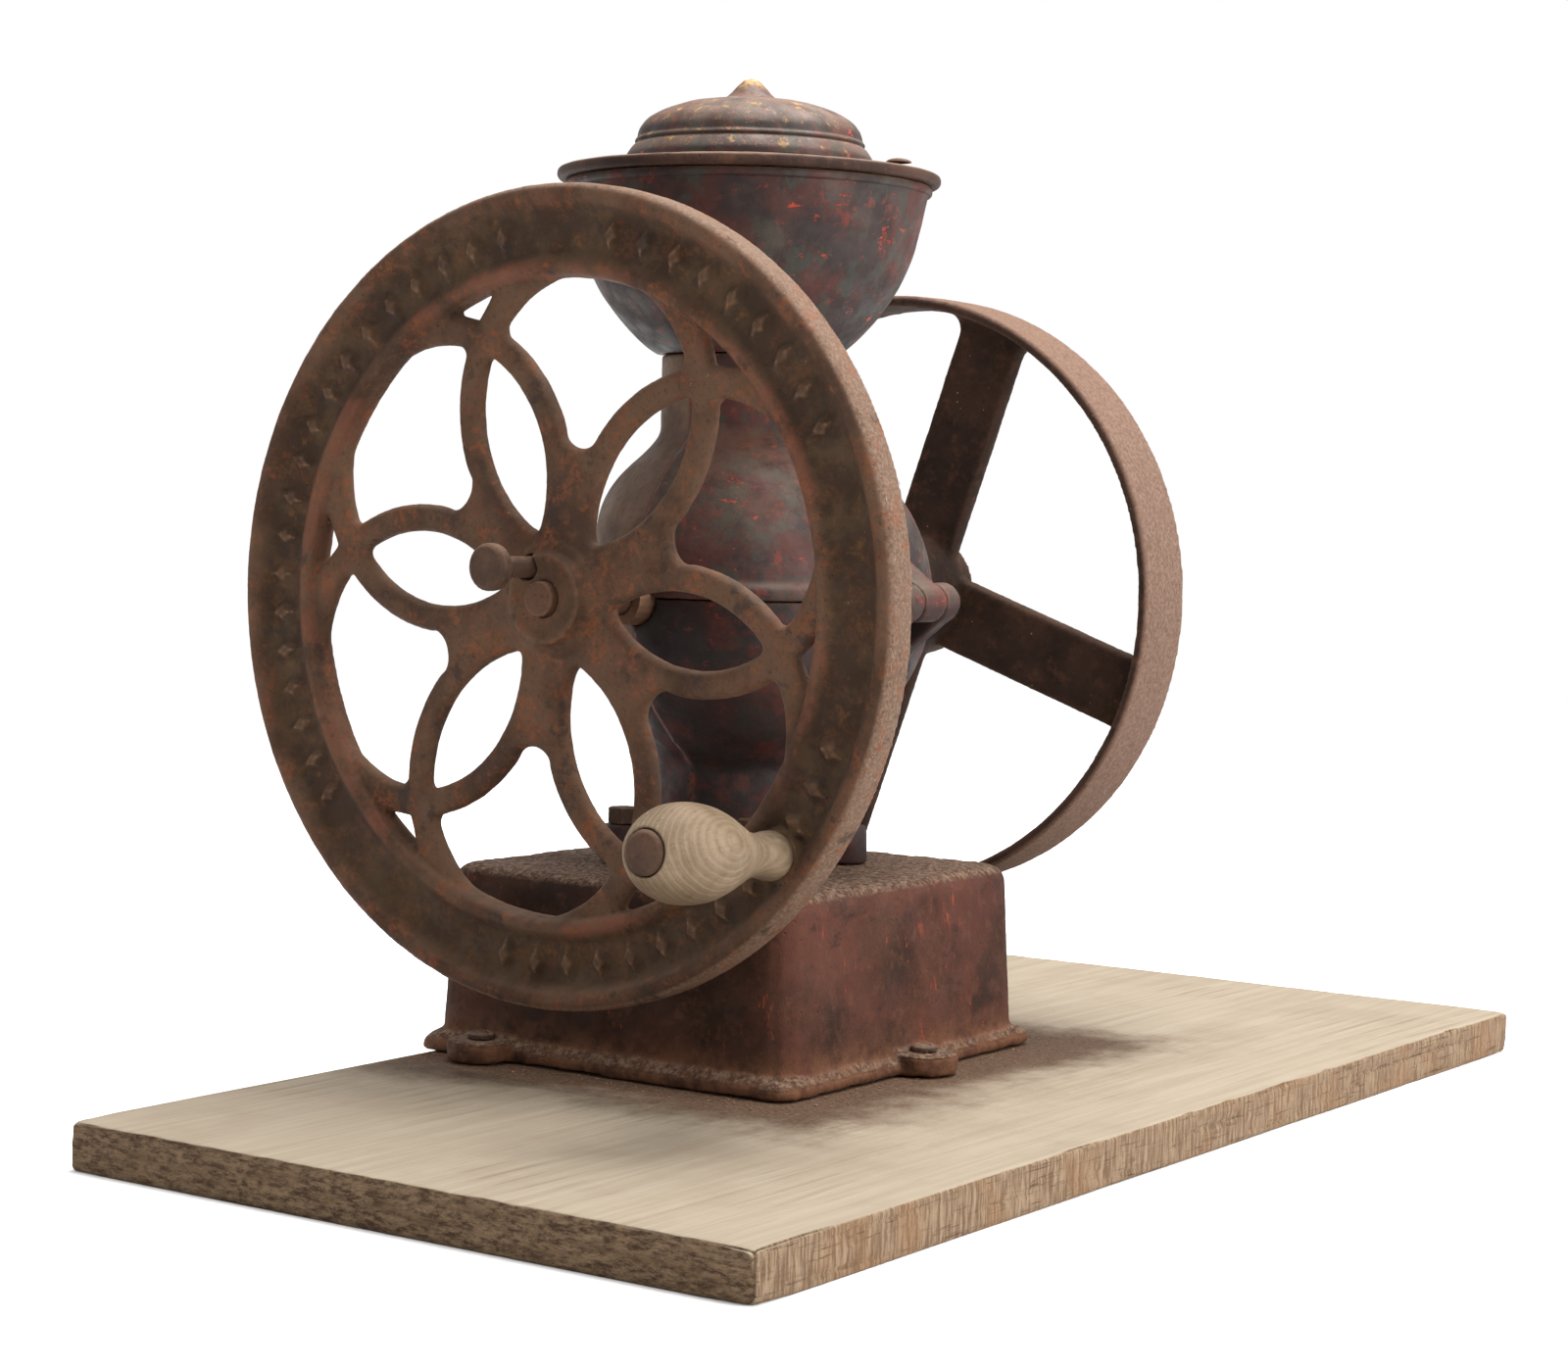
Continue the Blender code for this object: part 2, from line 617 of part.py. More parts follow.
def build_hopper():
    outer = [(50, 392.3), (66, 405.5), (75, 416), (83, 427.5), (88.5, 438), (93.5, 451), (97.5, 466),
             (101, 483), (103.5, 485), (103.5, 488)]
    bottom = [(NECK_BORE_R, 392.3 * MM)]
    outside = [(r * MM, z * MM) for r, z in outer]
    inside = [(r * MM - HOPPER_WALL, z * MM + 0.6 * HOPPER_WALL) for r, z in outer[1:8]][::-1]
    inside = [(98 * MM, HOPPER_RIM_Z)] + inside + [(50 * MM, HOPPER_FLOOR_Z), (NECK_BORE_R, HOPPER_FLOOR_Z)]
    profile = [(r, BOARD_T + z) for r, z in bottom + outside + inside]
    cuts = [shifted(drill(SMALL_SCREW_HOLE_R, -10 * MM, 12 * MM, 12),
                    HOPPER_SCREW_R * cos(a), HOPPER_SCREW_R * sin(a), NECK_TOP) for a in HOPPER_SCREW_ANGLES]
    place("hopper", combine(lathe(profile, BOWL_STEPS, ring=True), cuts=cuts), RED_IRON)


def build_hopper_screws():
    profile = [(0, -14 * MM), (SMALL_SCREW_R, -14 * MM), (SMALL_SCREW_R, GAP), (4.5 * MM, GAP),
               (4 * MM, 2 * MM), (0, 3 * MM)]
    for number, a in enumerate(HOPPER_SCREW_ANGLES, 1):
        place("hopper_screw_%d" % number, lathe(profile, 12), STEEL,
              (HOPPER_SCREW_R * cos(a), HOPPER_SCREW_R * sin(a), BOARD_T + HOPPER_FLOOR_Z + GAP))


def build_cover_ring():
    low, top = HOPPER_RIM_Z + GAP, RING_TOP
    profile = [(RING_HOLE_R, low + 5 * MM), (96 * MM, low + 3 * MM), (97 * MM, low),
               (105.5 * MM, low), (RING_R, low + 2 * MM), (RING_R, low + 5 * MM),
               (105.5 * MM, low + 6.7 * MM), (98 * MM, low + 7.5 * MM), (72 * MM, top), (RING_HOLE_R, top)]
    profile = [(r, BOARD_T + z) for r, z in profile]
    cuts = [shifted(drill(SMALL_SCREW_HOLE_R, -20 * MM, 20 * MM, 12), side * RING_SCREW_X, RING_SCREW_Y,
                    BOARD_T + top) for side in (-1, 1)]
    adds = [shifted(cylinder(RING_PAD_R, -6 * MM, -1.4 * MM, 20), side * RING_SCREW_X, RING_SCREW_Y,
                    BOARD_T + top) for side in (-1, 1)]
    place("cover_ring", combine(lathe(profile, BOWL_STEPS, ring=True), adds, cuts), IRON)
    head = [(0, -9 * MM), (SMALL_SCREW_R, -9 * MM), (SMALL_SCREW_R, -1.1 * MM), (7 * MM, -1.1 * MM),
            (6 * MM, 0.5 * MM), (3 * MM, 1.3 * MM), (0, 1.5 * MM)]
    for side, label in ((-1, "left"), (1, "right")):
        place("cover_screw_" + label, lathe(head, 16), STEEL,
              (side * RING_SCREW_X, RING_SCREW_Y, BOARD_T + top))


def build_lid():
    """Dome with a small knob, a skirt that drops into the ring's hole and a rolled lower edge."""
    inner = [(0, 530.5), (30, 528.5), (46, 524), (55, 517.5), (59.5, 509), (60, 494)]
    dome = [(69.5, 503), (66.5, 507.5), (64.3, 509.5), (64.8, 511.3), (63.6, 513), (62.4, 517.6),
            (59.3, 522.1), (55.4, 525.1), (48.3, 528.9), (36.4, 532.8), (25, 534.5), (16.1, 535.9),
            (12.2, 538.5), (8.3, 542.8), (4.4, 546.5), (0, 548)]
    skirt = [(64 * MM, LID_SKIRT_Z), (64 * MM, LID_BASE_Z), (70.3 * MM, LID_BASE_Z)]
    profile = [(r * MM, z * MM) for r, z in inner] + skirt + [(r * MM, z * MM) for r, z in dome]
    place("lid", lathe([(r, BOARD_T + z) for r, z in profile], STEPS), RED_IRON)


# ---------- flywheel ----------

def arc(cx, cy, radius, start, end, steps):
    return [(cx + radius * cos(start + (end - start) * i / steps),
             cy + radius * sin(start + (end - start) * i / steps)) for i in range(steps + 1)]


def petal_arc():
    """Centre (mid, drop) and radius of the arcs that bound a lens-shaped petal hole."""
    half = (PETAL_OUT - PETAL_IN) / 2
    radius = (half ** 2 + PETAL_HALF_W ** 2) / (2 * PETAL_HALF_W)
    return (PETAL_OUT + PETAL_IN) / 2, radius - PETAL_HALF_W, radius


def petal_hole():
    mid, drop, radius = petal_arc()
    half = (PETAL_OUT - PETAL_IN) / 2
    spread = atan2(half, drop)
    trim = 1 - 2 * PETAL_TIP_TRIM / half
    upper = arc(mid, -drop, radius, pi / 2 - spread * trim, pi / 2 + spread * trim, 8)
    upper.append((PETAL_IN + PETAL_TIP_TRIM, 0))
    lower = [(2 * mid - x, -y) for x, y in upper]
    return upper + lower


def gap_hole():
    """Large hole between two petals, symmetrical about local +X."""
    mid, drop, radius = petal_arc()
    cx, cy = turned([(mid, -drop)], -pi / PETALS)[0]
    side_r = radius + RIB_W
    nose_y = cy + sqrt(side_r ** 2 - (GAP_NOSE_X - cx) ** 2)
    span = sqrt((GAP_ARC_C - cx) ** 2 + cy ** 2)
    along = (span ** 2 + side_r ** 2 - GAP_ARC_R ** 2) / (2 * span)
    across = sqrt(side_r ** 2 - along ** 2)
    ux, uy = (GAP_ARC_C - cx) / span, -cy / span
    corner = (cx + along * ux + across * uy, cy + along * uy - across * ux)
    a_nose = atan2(nose_y - cy, GAP_NOSE_X - cx)
    a_corner = atan2(corner[1] - cy, corner[0] - cx)
    side = arc(cx, cy, side_r, a_nose, a_corner + radians(2), 4)
    a_out = atan2(corner[1], corner[0] - GAP_ARC_C)
    rim = arc(GAP_ARC_C, 0, GAP_ARC_R, a_out + radians(3), -a_out - radians(3), 10)
    back = [(x, -y) for x, y in side[::-1]]
    nose = [(GAP_NOSE_X - GAP_NOSE_LEN * cos(radians(a)), -nose_y * sin(radians(a)))
            for a in range(60, -61, -30)]
    return side + rim + back + nose


def tip_hole():
    """Small triangle between a petal's tip and the rim."""
    outer = arc(0, 0, WHEEL_HOLE_R + 3 * MM, -TIP_HALF_ANGLE, TIP_HALF_ANGLE, 3)
    return outer + [(TIP_APEX_R + 1.5 * MM, 1.6 * MM), (TIP_APEX_R, 0), (TIP_APEX_R + 1.5 * MM, -1.6 * MM)]


def pierced_plate(outer_r, holes, half_t, edge, steps=RIM_STEPS):
    """Flat plate with rounded hole edges, from a filled 2D curve, centred on z = 0."""
    curve = bpy.data.curves.new("plate", "CURVE")
    curve.dimensions = "2D"
    curve.fill_mode = "BOTH"
    curve.extrude = half_t - edge
    curve.bevel_depth = edge
    curve.bevel_resolution = 0
    curve.offset = -edge
    for points in [circle(outer_r, steps)] + holes:
        spline = curve.splines.new("POLY")
        spline.points.add(len(points) - 1)
        for point, (x, y) in zip(spline.points, points):
            point.co = (x, y, 0, 1)
        spline.use_cyclic_u = True
    obj = bpy.data.objects.new("plate", curve)
    bpy.context.scene.collection.objects.link(obj)
    depsgraph = bpy.context.evaluated_depsgraph_get()
    mesh = bpy.data.meshes.new_from_object(obj.evaluated_get(depsgraph))
    bm = bmesh.new()
    bm.from_mesh(mesh)
    bmesh.ops.remove_doubles(bm, verts=bm.verts, dist=1e-6)
    bmesh.ops.recalc_face_normals(bm, faces=bm.faces)
    bpy.data.objects.remove(obj, do_unlink=True)
    bpy.data.curves.remove(curve)
    bpy.data.meshes.remove(mesh)
    return bm


def rim_profile():
    """Cross section (radius, distance along the shaft): thin inner wall, channel, thick outer bead."""
    points = [(168, 157), (181, 157), (187, 159), (203, 159), (208, 156), (216, 156.5),
              (216, 171), (214.5, 175), (210.5, 177), (206.5, 175.5), (202, 170), (189, 168.5),
              (180, 169.5), (175.5, 173.5), (171.5, 174.5), (168, 171.5)]
    return [(r * MM, z * MM) for r, z in points]


def handle_in_wheel():
    """Handle frame expressed in the flywheel's own frame."""
    world = Matrix.Translation((HANDLE_X, HANDLE_Y, HANDLE_Z)) @ Matrix.Rotation(
        radians(90) - HANDLE_LEAN, 4, "X")
    return (Matrix.Translation((0, 0, SHAFT_Z)) @ ALONG_SHAFT).inverted() @ world


def key_box(grow):
    half = KEY_HALF + grow
    return box(-half, half, SHAFT_R - half, SHAFT_R + half,
               HUB_BACK + 3 * MM - grow, HUB_FACE - 6 * MM + grow)


def build_flywheel():
    holes = []
    for i in range(PETALS):
        a = PETAL_TURN + 2 * pi * i / PETALS
        holes.append(turned(petal_hole(), a))
        holes.append(turned(tip_hole(), a))
        holes.append(turned(gap_hole(), a + pi / PETALS))
    web = shifted(pierced_plate(WEB_OUT_R, holes, WEB_HALF_T, WEB_EDGE), 0, 0, WEB_MID)
    rim = lathe(rim_profile(), RIM_STEPS, ring=True)
    hub = lathe([(0, HUB_BACK), (HUB_R - 2 * MM, HUB_BACK), (HUB_R, HUB_BACK + 2 * MM),
                 (HUB_R, HUB_FACE - 2 * MM), (HUB_R - 2 * MM, HUB_FACE), (0, HUB_FACE)], 32)
    to_handle = handle_in_wheel()
    boss = moved(cylinder(RIM_BOSS_R, RIM_BOSS_BACK, GRIP_START - GAP, 24), to_handle)
    cuts = [drill(SHAFT_R + GAP, HUB_BACK - MM, HUB_FACE + MM),
            box(-KEY_HALF - GAP, KEY_HALF + GAP, 0, SHAFT_R + KEY_HALF + GAP,
                HUB_BACK - MM, HUB_FACE - 6 * MM + GAP),
            drill(LOCK_SHANK_R + GAP, LOCK_END - GAP, HUB_FACE + MM, 20,
                  LOCK_R * cos(LOCK_TURN), LOCK_R * sin(LOCK_TURN)),
            moved(drill(GRIP_BOLT_R + GAP, -40 * MM, 20 * MM, 20), to_handle)]
    place_on_shaft("flywheel", combine(rim, [web, hub, boss], cuts), IRON)
    place_on_shaft("flywheel_key", key_box(0.0), STEEL)


def build_lock_screw():
    x, y = LOCK_R * cos(LOCK_TURN), LOCK_R * sin(LOCK_TURN)
    head0, head1 = LOCK_HEAD_FACE - LOCK_HEAD_T, LOCK_HEAD_FACE
    profile = [(0, LOCK_END), (LOCK_SHANK_R - MM, LOCK_END), (LOCK_SHANK_R, LOCK_END + 2 * MM),
               (LOCK_SHANK_R, head0), (LOCK_HEAD_R - MM, head0), (LOCK_HEAD_R, head0 + MM),
               (LOCK_HEAD_R, head1 - 2 * MM), (LOCK_HEAD_R - 2 * MM, head1), (0, head1)]
    place("hub_lock_screw", lathe(profile, 24), STEEL, (x, 0, SHAFT_Z + y), (radians(90), 0, 0))


def place_on_handle(name, bm, look):
    place(name, bm, look, (HANDLE_X, HANDLE_Y, HANDLE_Z), (radians(90) - HANDLE_LEAN, 0, 0))


def grip_profile():
    """Pear-shaped outside of the grip from its wheel end to its outer end."""
    points = [(0, 12.4), (5, 12.4), (15, 11.2), (26, 12.2), (40, 16.3), (54, 21), (66, 24),
              (76, 24.8), (86, 23.9), (94, 21), (101, 16.6), (106, 12.4)]
    return [(r * MM, GRIP_START + t * MM) for t, r in points]


def build_handle():
    end = GRIP_START + GRIP_LEN
    recess = GRIP_HEAD_R + 0.6 * MM
    inside = [(recess, end), (recess, end - 4 * MM), (GRIP_BOLT_R + GAP, end - 4 * MM),
              (GRIP_BOLT_R + GAP, GRIP_START)]
    place_on_handle("handle_grip", lathe(grip_profile() + inside, HIDDEN_STEPS, ring=True), TURNED_WOOD)
    head0 = end - 4 * MM + GAP
    bolt = [(0, BOLT_END), (GRIP_BOLT_R - MM, BOLT_END), (GRIP_BOLT_R, BOLT_END + MM), (GRIP_BOLT_R, head0),
            (GRIP_HEAD_R, head0), (GRIP_HEAD_R, head0 + GRIP_HEAD_T - 2 * MM),
            (GRIP_HEAD_R - 2 * MM, head0 + GRIP_HEAD_T - 0.4 * MM), (0, head0 + GRIP_HEAD_T)]
    place_on_handle("handle_bolt", lathe(bolt, 24), STEEL)
    nut_front = RIM_BOSS_BACK - GAP
    nut = combine(cylinder(NUT_R, nut_front - NUT_T, nut_front, 6),
                  cuts=[drill(GRIP_BOLT_R + GAP, nut_front - 2 * NUT_T, nut_front + NUT_T, 20)])
    place_on_handle("handle_nut", nut, STEEL)


# ---------- belt pulley ----------

def pulley_hole():
    """Quarter opening between two spokes that lie along local +X and +Y."""
    w, f, outer = PULLEY_SPOKE_HALF_W, PULLEY_FILLET, 10 * MM
    inner_corner = arc(w + f, w + f, f, radians(180), radians(270), 5)
    cx = sqrt((PULLEY_HOLE_R - outer) ** 2 - (w + outer) ** 2)
    cy = w + outer
    tilt = atan2(cy, cx)
    corner = arc(cx, cy, outer, -pi / 2, tilt, 3)
    rim = arc(0, 0, PULLEY_HOLE_R + 2 * MM, tilt, pi / 2 - tilt, 6)[1:-1]
    mirror = [(y, x) for x, y in corner[::-1]]
    return inner_corner + corner + rim + mirror


def build_pulley():
    mid = -(PULLEY_NEAR + PULLEY_FAR) / 2
    holes = [turned(pulley_hole(), PULLEY_TURN + i * pi / 2) for i in range(4)]
    web = shifted(pierced_plate(PULLEY_HOLE_R + 5 * MM, holes, PULLEY_SPOKE_T / 2, 2 * MM),
                  0, 0, -PULLEY_SPOKE_MID)
    rim = lathe([(PULLEY_HOLE_R + MM, -PULLEY_FAR), (PULLEY_R - PULLEY_CROWN, -PULLEY_FAR), (PULLEY_R, mid),
                 (PULLEY_R - PULLEY_CROWN, -PULLEY_NEAR), (PULLEY_HOLE_R + MM, -PULLEY_NEAR),
                 (PULLEY_HOLE_R, mid)], RIM_STEPS, ring=True)
    hub = cylinder(PULLEY_HUB_R, -PULLEY_HUB_FAR, -PULLEY_HUB_NEAR)
    to_screw = set_screw_frame()
    cuts = [drill(SHAFT_R + GAP, -PULLEY_HUB_FAR - MM, -PULLEY_HUB_NEAR + MM),
            moved(drill(SET_SCREW_R + GAP, 0, PULLEY_HUB_R + MM, 16), to_screw)]
    place_on_shaft("belt_pulley", combine(rim, [web, hub], cuts), IRON)
    screw = cylinder(SET_SCREW_R, SHAFT_R + 2 * GAP, PULLEY_HUB_R + 2 * MM, 16)
    head = box(-SET_SCREW_HEAD, SET_SCREW_HEAD, -SET_SCREW_HEAD, SET_SCREW_HEAD,
               PULLEY_HUB_R + MM, PULLEY_HUB_R + 2 * SET_SCREW_HEAD)
    place_on_shaft("pulley_set_screw", moved(combine(screw, [head]), to_screw), STEEL)


def set_screw_frame():
    """Local +Z points out radially, half way between two spokes, on the part of the hub nearer the body."""
    return (Matrix.Translation((0, 0, -SET_SCREW_AT))
            @ Matrix.Rotation(PULLEY_TURN + radians(45), 4, "Z") @ Matrix.Rotation(pi / 2, 4, "Y"))


# ---------- shaft and grinding gear ----------

def build_shaft():
    profile = [(0, SHAFT_REAR), (SHAFT_R - MM, SHAFT_REAR), (SHAFT_R, SHAFT_REAR + MM),
               (SHAFT_R, SHAFT_FRONT - MM), (SHAFT_R - MM, SHAFT_FRONT), (0, SHAFT_FRONT)]
    place_on_shaft("shaft", combine(lathe(profile, HIDDEN_STEPS), cuts=[key_box(GAP)]), STEEL)
    for label, z0, z1 in (("front", BUSH_IN, BUSH_OUT), ("rear", -BUSH_OUT, -BUSH_IN)):
        place_on_shaft("bush_" + label, tube(SHAFT_R + GAP, BUSH_R, z0, z1, HIDDEN_STEPS), BURR_IRON)
    collar = tube(SHAFT_R + GAP, COLLAR_R, COLLAR_AT, BUSH_IN - GAP, HIDDEN_STEPS)
    place_on_shaft("shaft_collar", collar, STEEL)


def burr(z_back, z_face, bore):
    """Disc with raised radial teeth on the side of z_face."""
    sign = 1 if z_face > z_back else -1
    body = tube(bore, BURR_R, *sorted((z_back, z_face - sign * BURR_TOOTH)), HIDDEN_STEPS)
    teeth = []
    for i in range(BURR_TEETH):
        a = 2 * pi * i / BURR_TEETH
        outline = turned([(bore + 6 * MM, -1.2 * MM), (BURR_R - 2 * MM, -2.4 * MM),
                          (BURR_R - 2 * MM, 2.4 * MM), (bore + 6 * MM, 1.2 * MM)], a)
        teeth.append(prism(outline, *sorted((z_face - 3 * sign * BURR_TOOTH, z_face))))
    return body, teeth


def burr_screw_spots():
    """Places of the three screws through the case's flange into the fixed burr, between its teeth."""
    angles = [radians(30 + 120 * i) + pi / BURR_TEETH for i in range(3)]
    return [(BURR_SCREW_R * cos(a), BURR_SCREW_R * sin(a)) for a in angles]


def build_burrs():
    body, teeth = burr(BURR_FACE + 0.5 * MM + BURR_T, BURR_FACE + 0.5 * MM, SHAFT_R + GAP)
    place_on_shaft("burr_turning", combine(body, teeth), BURR_IRON)
    body, teeth = burr(BURR_FACE - 0.5 * MM - BURR_T, BURR_FACE - 0.5 * MM, CASE_IN_R)
    back = BURR_FACE - 0.5 * MM - BURR_T
    cuts = [drill(SMALL_SCREW_HOLE_R, back - MM, back + 7 * MM, 12, x, y) for x, y in burr_screw_spots()]
    place_on_shaft("burr_fixed", combine(body, teeth, cuts), BURR_IRON)


def build_feed_case():
    back = BURR_FACE - 0.5 * MM - BURR_T - GAP
    flange0 = back - CASE_FLANGE_T
    profile = [(CASE_IN_R, CASE_BACK), (CASE_OUT_R, CASE_BACK), (CASE_OUT_R, flange0), (BURR_R, flange0),
               (BURR_R, back), (CASE_IN_R, back)]
    mouth = box(-18 * MM, 18 * MM, 0, 60 * MM, -38 * MM, 14 * MM)
    cuts = [mouth] + [drill(SMALL_SCREW_HOLE_R, flange0 - MM, back + MM, 12, x, y)
                      for x, y in burr_screw_spots()]
    place_on_shaft("feed_case", combine(lathe(profile, HIDDEN_STEPS, ring=True), cuts=cuts), IRON)
    screw = [(0, flange0 - 3 * MM), (4.2 * MM, flange0 - 3 * MM), (4.5 * MM, flange0 - GAP),
             (SMALL_SCREW_R, flange0 - GAP), (SMALL_SCREW_R, back + 6 * MM), (0, back + 6 * MM)]
    for number, (x, y) in enumerate(burr_screw_spots(), 1):
        place_on_shaft("burr_screw_%d" % number, shifted(lathe(screw, 12), x, y, 0), STEEL)


def build_feed_screw():
    """Sleeve on the shaft with one helical blade that pushes grain towards the burrs."""
    start = FEED_START
    sleeve = tube(SHAFT_R + GAP, FEED_SLEEVE_R, start, start + FEED_PITCH * FEED_TURNS + 4 * MM, 24)
    root = FEED_SLEEVE_R - MM
    bm = bmesh.new()
    per_turn = 16
    count = int(per_turn * FEED_TURNS)
    rows = []
    for i in range(count + 1):
        a = 2 * pi * i / per_turn
        z = start + MM + FEED_PITCH * i / per_turn
        rows.append([bm.verts.new((r * cos(a), r * sin(a), z + dz))
                     for r, dz in ((root, 0), (FEED_R, 0.4 * MM), (FEED_R, 2.2 * MM), (root, 2.6 * MM))])
    for low, high in zip(rows, rows[1:]):
        for k in range(4):
            bm.faces.new((low[k], low[(k + 1) % 4], high[(k + 1) % 4], high[k]))
    bm.faces.new(rows[0][::-1])
    bm.faces.new(rows[-1])
    bmesh.ops.recalc_face_normals(bm, faces=bm.faces)
    place_on_shaft("feed_screw", combine(sleeve, [bm]), STEEL)


def main():
    clear_scene()
    build_board()
    build_base()
    build_lug_screws()
    build_drawer()
    build_lower_body()
    build_foot_bolts()
    build_upper_body()
    build_hinge_pin()
    build_hopper()
    build_hopper_screws()
    build_cover_ring()
    build_lid()
    build_flywheel()
    build_lock_screw()
    build_handle()
    build_pulley()
    build_shaft()
    build_burrs()
    build_feed_case()
    build_feed_screw()


main()
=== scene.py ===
# Looks of the old two-wheel counter grain mill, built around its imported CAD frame.
# Metres, +Z up. The shaft runs along Y, flywheel at -Y, belt pulley at +Y, board at the bottom.

import random
from math import atan2, ceil, cos, pi, radians, sin, sqrt

import bmesh
import bpy
from mathutils import Matrix, Vector, noise


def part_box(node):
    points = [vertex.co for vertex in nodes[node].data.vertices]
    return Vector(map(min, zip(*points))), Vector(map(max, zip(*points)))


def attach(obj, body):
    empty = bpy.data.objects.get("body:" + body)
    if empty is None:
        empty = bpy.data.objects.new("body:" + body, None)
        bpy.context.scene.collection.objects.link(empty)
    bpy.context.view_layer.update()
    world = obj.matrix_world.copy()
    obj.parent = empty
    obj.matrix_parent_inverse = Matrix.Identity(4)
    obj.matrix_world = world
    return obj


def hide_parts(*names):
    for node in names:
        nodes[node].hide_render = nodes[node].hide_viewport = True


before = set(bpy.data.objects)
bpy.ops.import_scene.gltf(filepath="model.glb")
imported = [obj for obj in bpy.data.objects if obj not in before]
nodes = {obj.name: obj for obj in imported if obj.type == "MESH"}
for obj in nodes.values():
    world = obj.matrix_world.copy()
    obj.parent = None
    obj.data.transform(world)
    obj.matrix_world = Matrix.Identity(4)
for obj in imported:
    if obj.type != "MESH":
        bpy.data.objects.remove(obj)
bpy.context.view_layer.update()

MM = 0.001
BOARD_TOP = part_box("board")[1].z
SHAFT_Z = (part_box("shaft")[0].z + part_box("shaft")[1].z) / 2
SHAFT_R = (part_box("shaft")[1].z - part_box("shaft")[0].z) / 2
ON_SHAFT = Matrix.Translation((0, 0, SHAFT_Z)) @ Matrix.Rotation(radians(90), 4, "X")


# ---------- mesh helpers ----------

def loft(rings, closed=False):
    """Skin through rings of equal length; an open run gets a cap at each end, a closed one joins up."""
    bm = bmesh.new()
    rows = [[bm.verts.new(p) for p in ring] for ring in rings]
    count = len(rows[0])
    pairs = list(zip(rows, rows[1:])) + ([(rows[-1], rows[0])] if closed else [])
    for low, high in pairs:
        for i in range(count):
            j = (i + 1) % count
            bm.faces.new((low[i], low[j], high[j], high[i]))
    if not closed:
        bm.faces.new(rows[0][::-1])
        bm.faces.new(rows[-1])
    bmesh.ops.recalc_face_normals(bm, faces=bm.faces)
    return bm


def circle(radius, steps, cx=0.0, cy=0.0):
    return [(cx + radius * cos(2 * pi * i / steps), cy + radius * sin(2 * pi * i / steps))
            for i in range(steps)]


def arc(cx, cy, radius, start, end, steps):
    return [(cx + radius * cos(start + (end - start) * i / steps),
             cy + radius * sin(start + (end - start) * i / steps)) for i in range(steps + 1)]


def turned(points, angle):
    return [(x * cos(angle) - y * sin(angle), x * sin(angle) + y * cos(angle)) for x, y in points]


def prism(points, z0, z1):
    return loft([[(x, y, z) for x, y in points] for z in (z0, z1)])


def cylinder(radius, z0, z1, steps=48, cx=0.0, cy=0.0):
    return prism(circle(radius, steps, cx, cy), z0, z1)


def block(x0, x1, y0, y1, z0, z1):
    return prism([(x0, y0), (x1, y0), (x1, y1), (x0, y1)], z0, z1)


def lathe(profile, steps, ring=False):
    """Turn (r, z) points about Z, from axis to axis, or closed on itself for a ring."""
    if ring:
        return loft([[(r * cos(2 * pi * i / steps), r * sin(2 * pi * i / steps), z)
                      for i in range(steps)] for r, z in profile], closed=True)
    bm = loft([[(max(r, 1e-5) * cos(2 * pi * i / steps), max(r, 1e-5) * sin(2 * pi * i / steps), z)
                for i in range(steps)] for r, z in profile])
    bmesh.ops.remove_doubles(bm, verts=bm.verts, dist=5e-6)
    return bm


def curved(points, per=5, closed=False):
    """Smooth run through the points, with per steps between two of them."""
    count = len(points)
    out = []
    for i in range(count if closed else count - 1):
        a, b, c, d = (points[k % count] if closed else points[min(max(k, 0), count - 1)]
                      for k in (i - 1, i, i + 1, i + 2))
        for s in range(per):
            t = s / per
            out.append(tuple(
                0.5 * (2 * q + (r - p) * t + (2 * p - 5 * q + 4 * r - e) * t * t
                       + (3 * q - p - 3 * r + e) * t ** 3)
                for p, q, r, e in zip(a, b, c, d)))
    return out if closed else out + [tuple(points[-1])]


def joined(*parts):
    """All the parts in one bmesh, still overlapping."""
    out = bmesh.new()
    for bm in parts:
        mesh = bpy.data.meshes.new("part")
        bm.to_mesh(mesh)
        bm.free()
        out.from_mesh(mesh)
        bpy.data.meshes.remove(mesh)
    return out


def moved(bm, matrix):
    bmesh.ops.transform(bm, matrix=matrix, verts=bm.verts)
    return bm


def shifted(bm, x, y, z):
    return moved(bm, Matrix.Translation((x, y, z)))


def work_object(bm):
    mesh = bpy.data.meshes.new("work")
    bm.to_mesh(mesh)
    bm.free()
    obj = bpy.data.objects.new("work", mesh)
    bpy.context.scene.collection.objects.link(obj)
    return obj


def baked(obj, *extra):
    """The object's mesh with its modifiers applied; the object and the extra ones are removed."""
    bpy.context.view_layer.update()
    mesh = bpy.data.meshes.new_from_object(obj.evaluated_get(bpy.context.evaluated_depsgraph_get()))
    for used in (obj,) + extra:
        bpy.data.objects.remove(used, do_unlink=True)
    return mesh


def cut(bm, *cutters):
    """bm with the cutters taken away."""
    base = work_object(bm)
    tools = []
    for cutter in cutters:
        tool = work_object(cutter)
        tools.append(tool)
        step = base.modifiers.new("cut", "BOOLEAN")
        step.operation, step.solver, step.object = "DIFFERENCE", "EXACT", tool
    out = bmesh.new()
    out.from_mesh(baked(base, *tools))
    return out


def cast(bm, voxel, wear, lumps=0.0, lump_size=12 * MM, grit=0.0, grit_size=2.5 * MM):
    """One skin over everything in bm, its corners worn round and its surface uneven like a casting."""
    obj = work_object(bm)
    skin = obj.modifiers.new("skin", "REMESH")
    skin.mode, skin.voxel_size = "VOXEL", voxel
    if wear:
        smooth = obj.modifiers.new("wear", "SMOOTH")
        smooth.factor, smooth.iterations = 0.5, wear
    uneven(obj, lumps, lump_size)
    uneven(obj, grit, grit_size)
    return baked(obj)


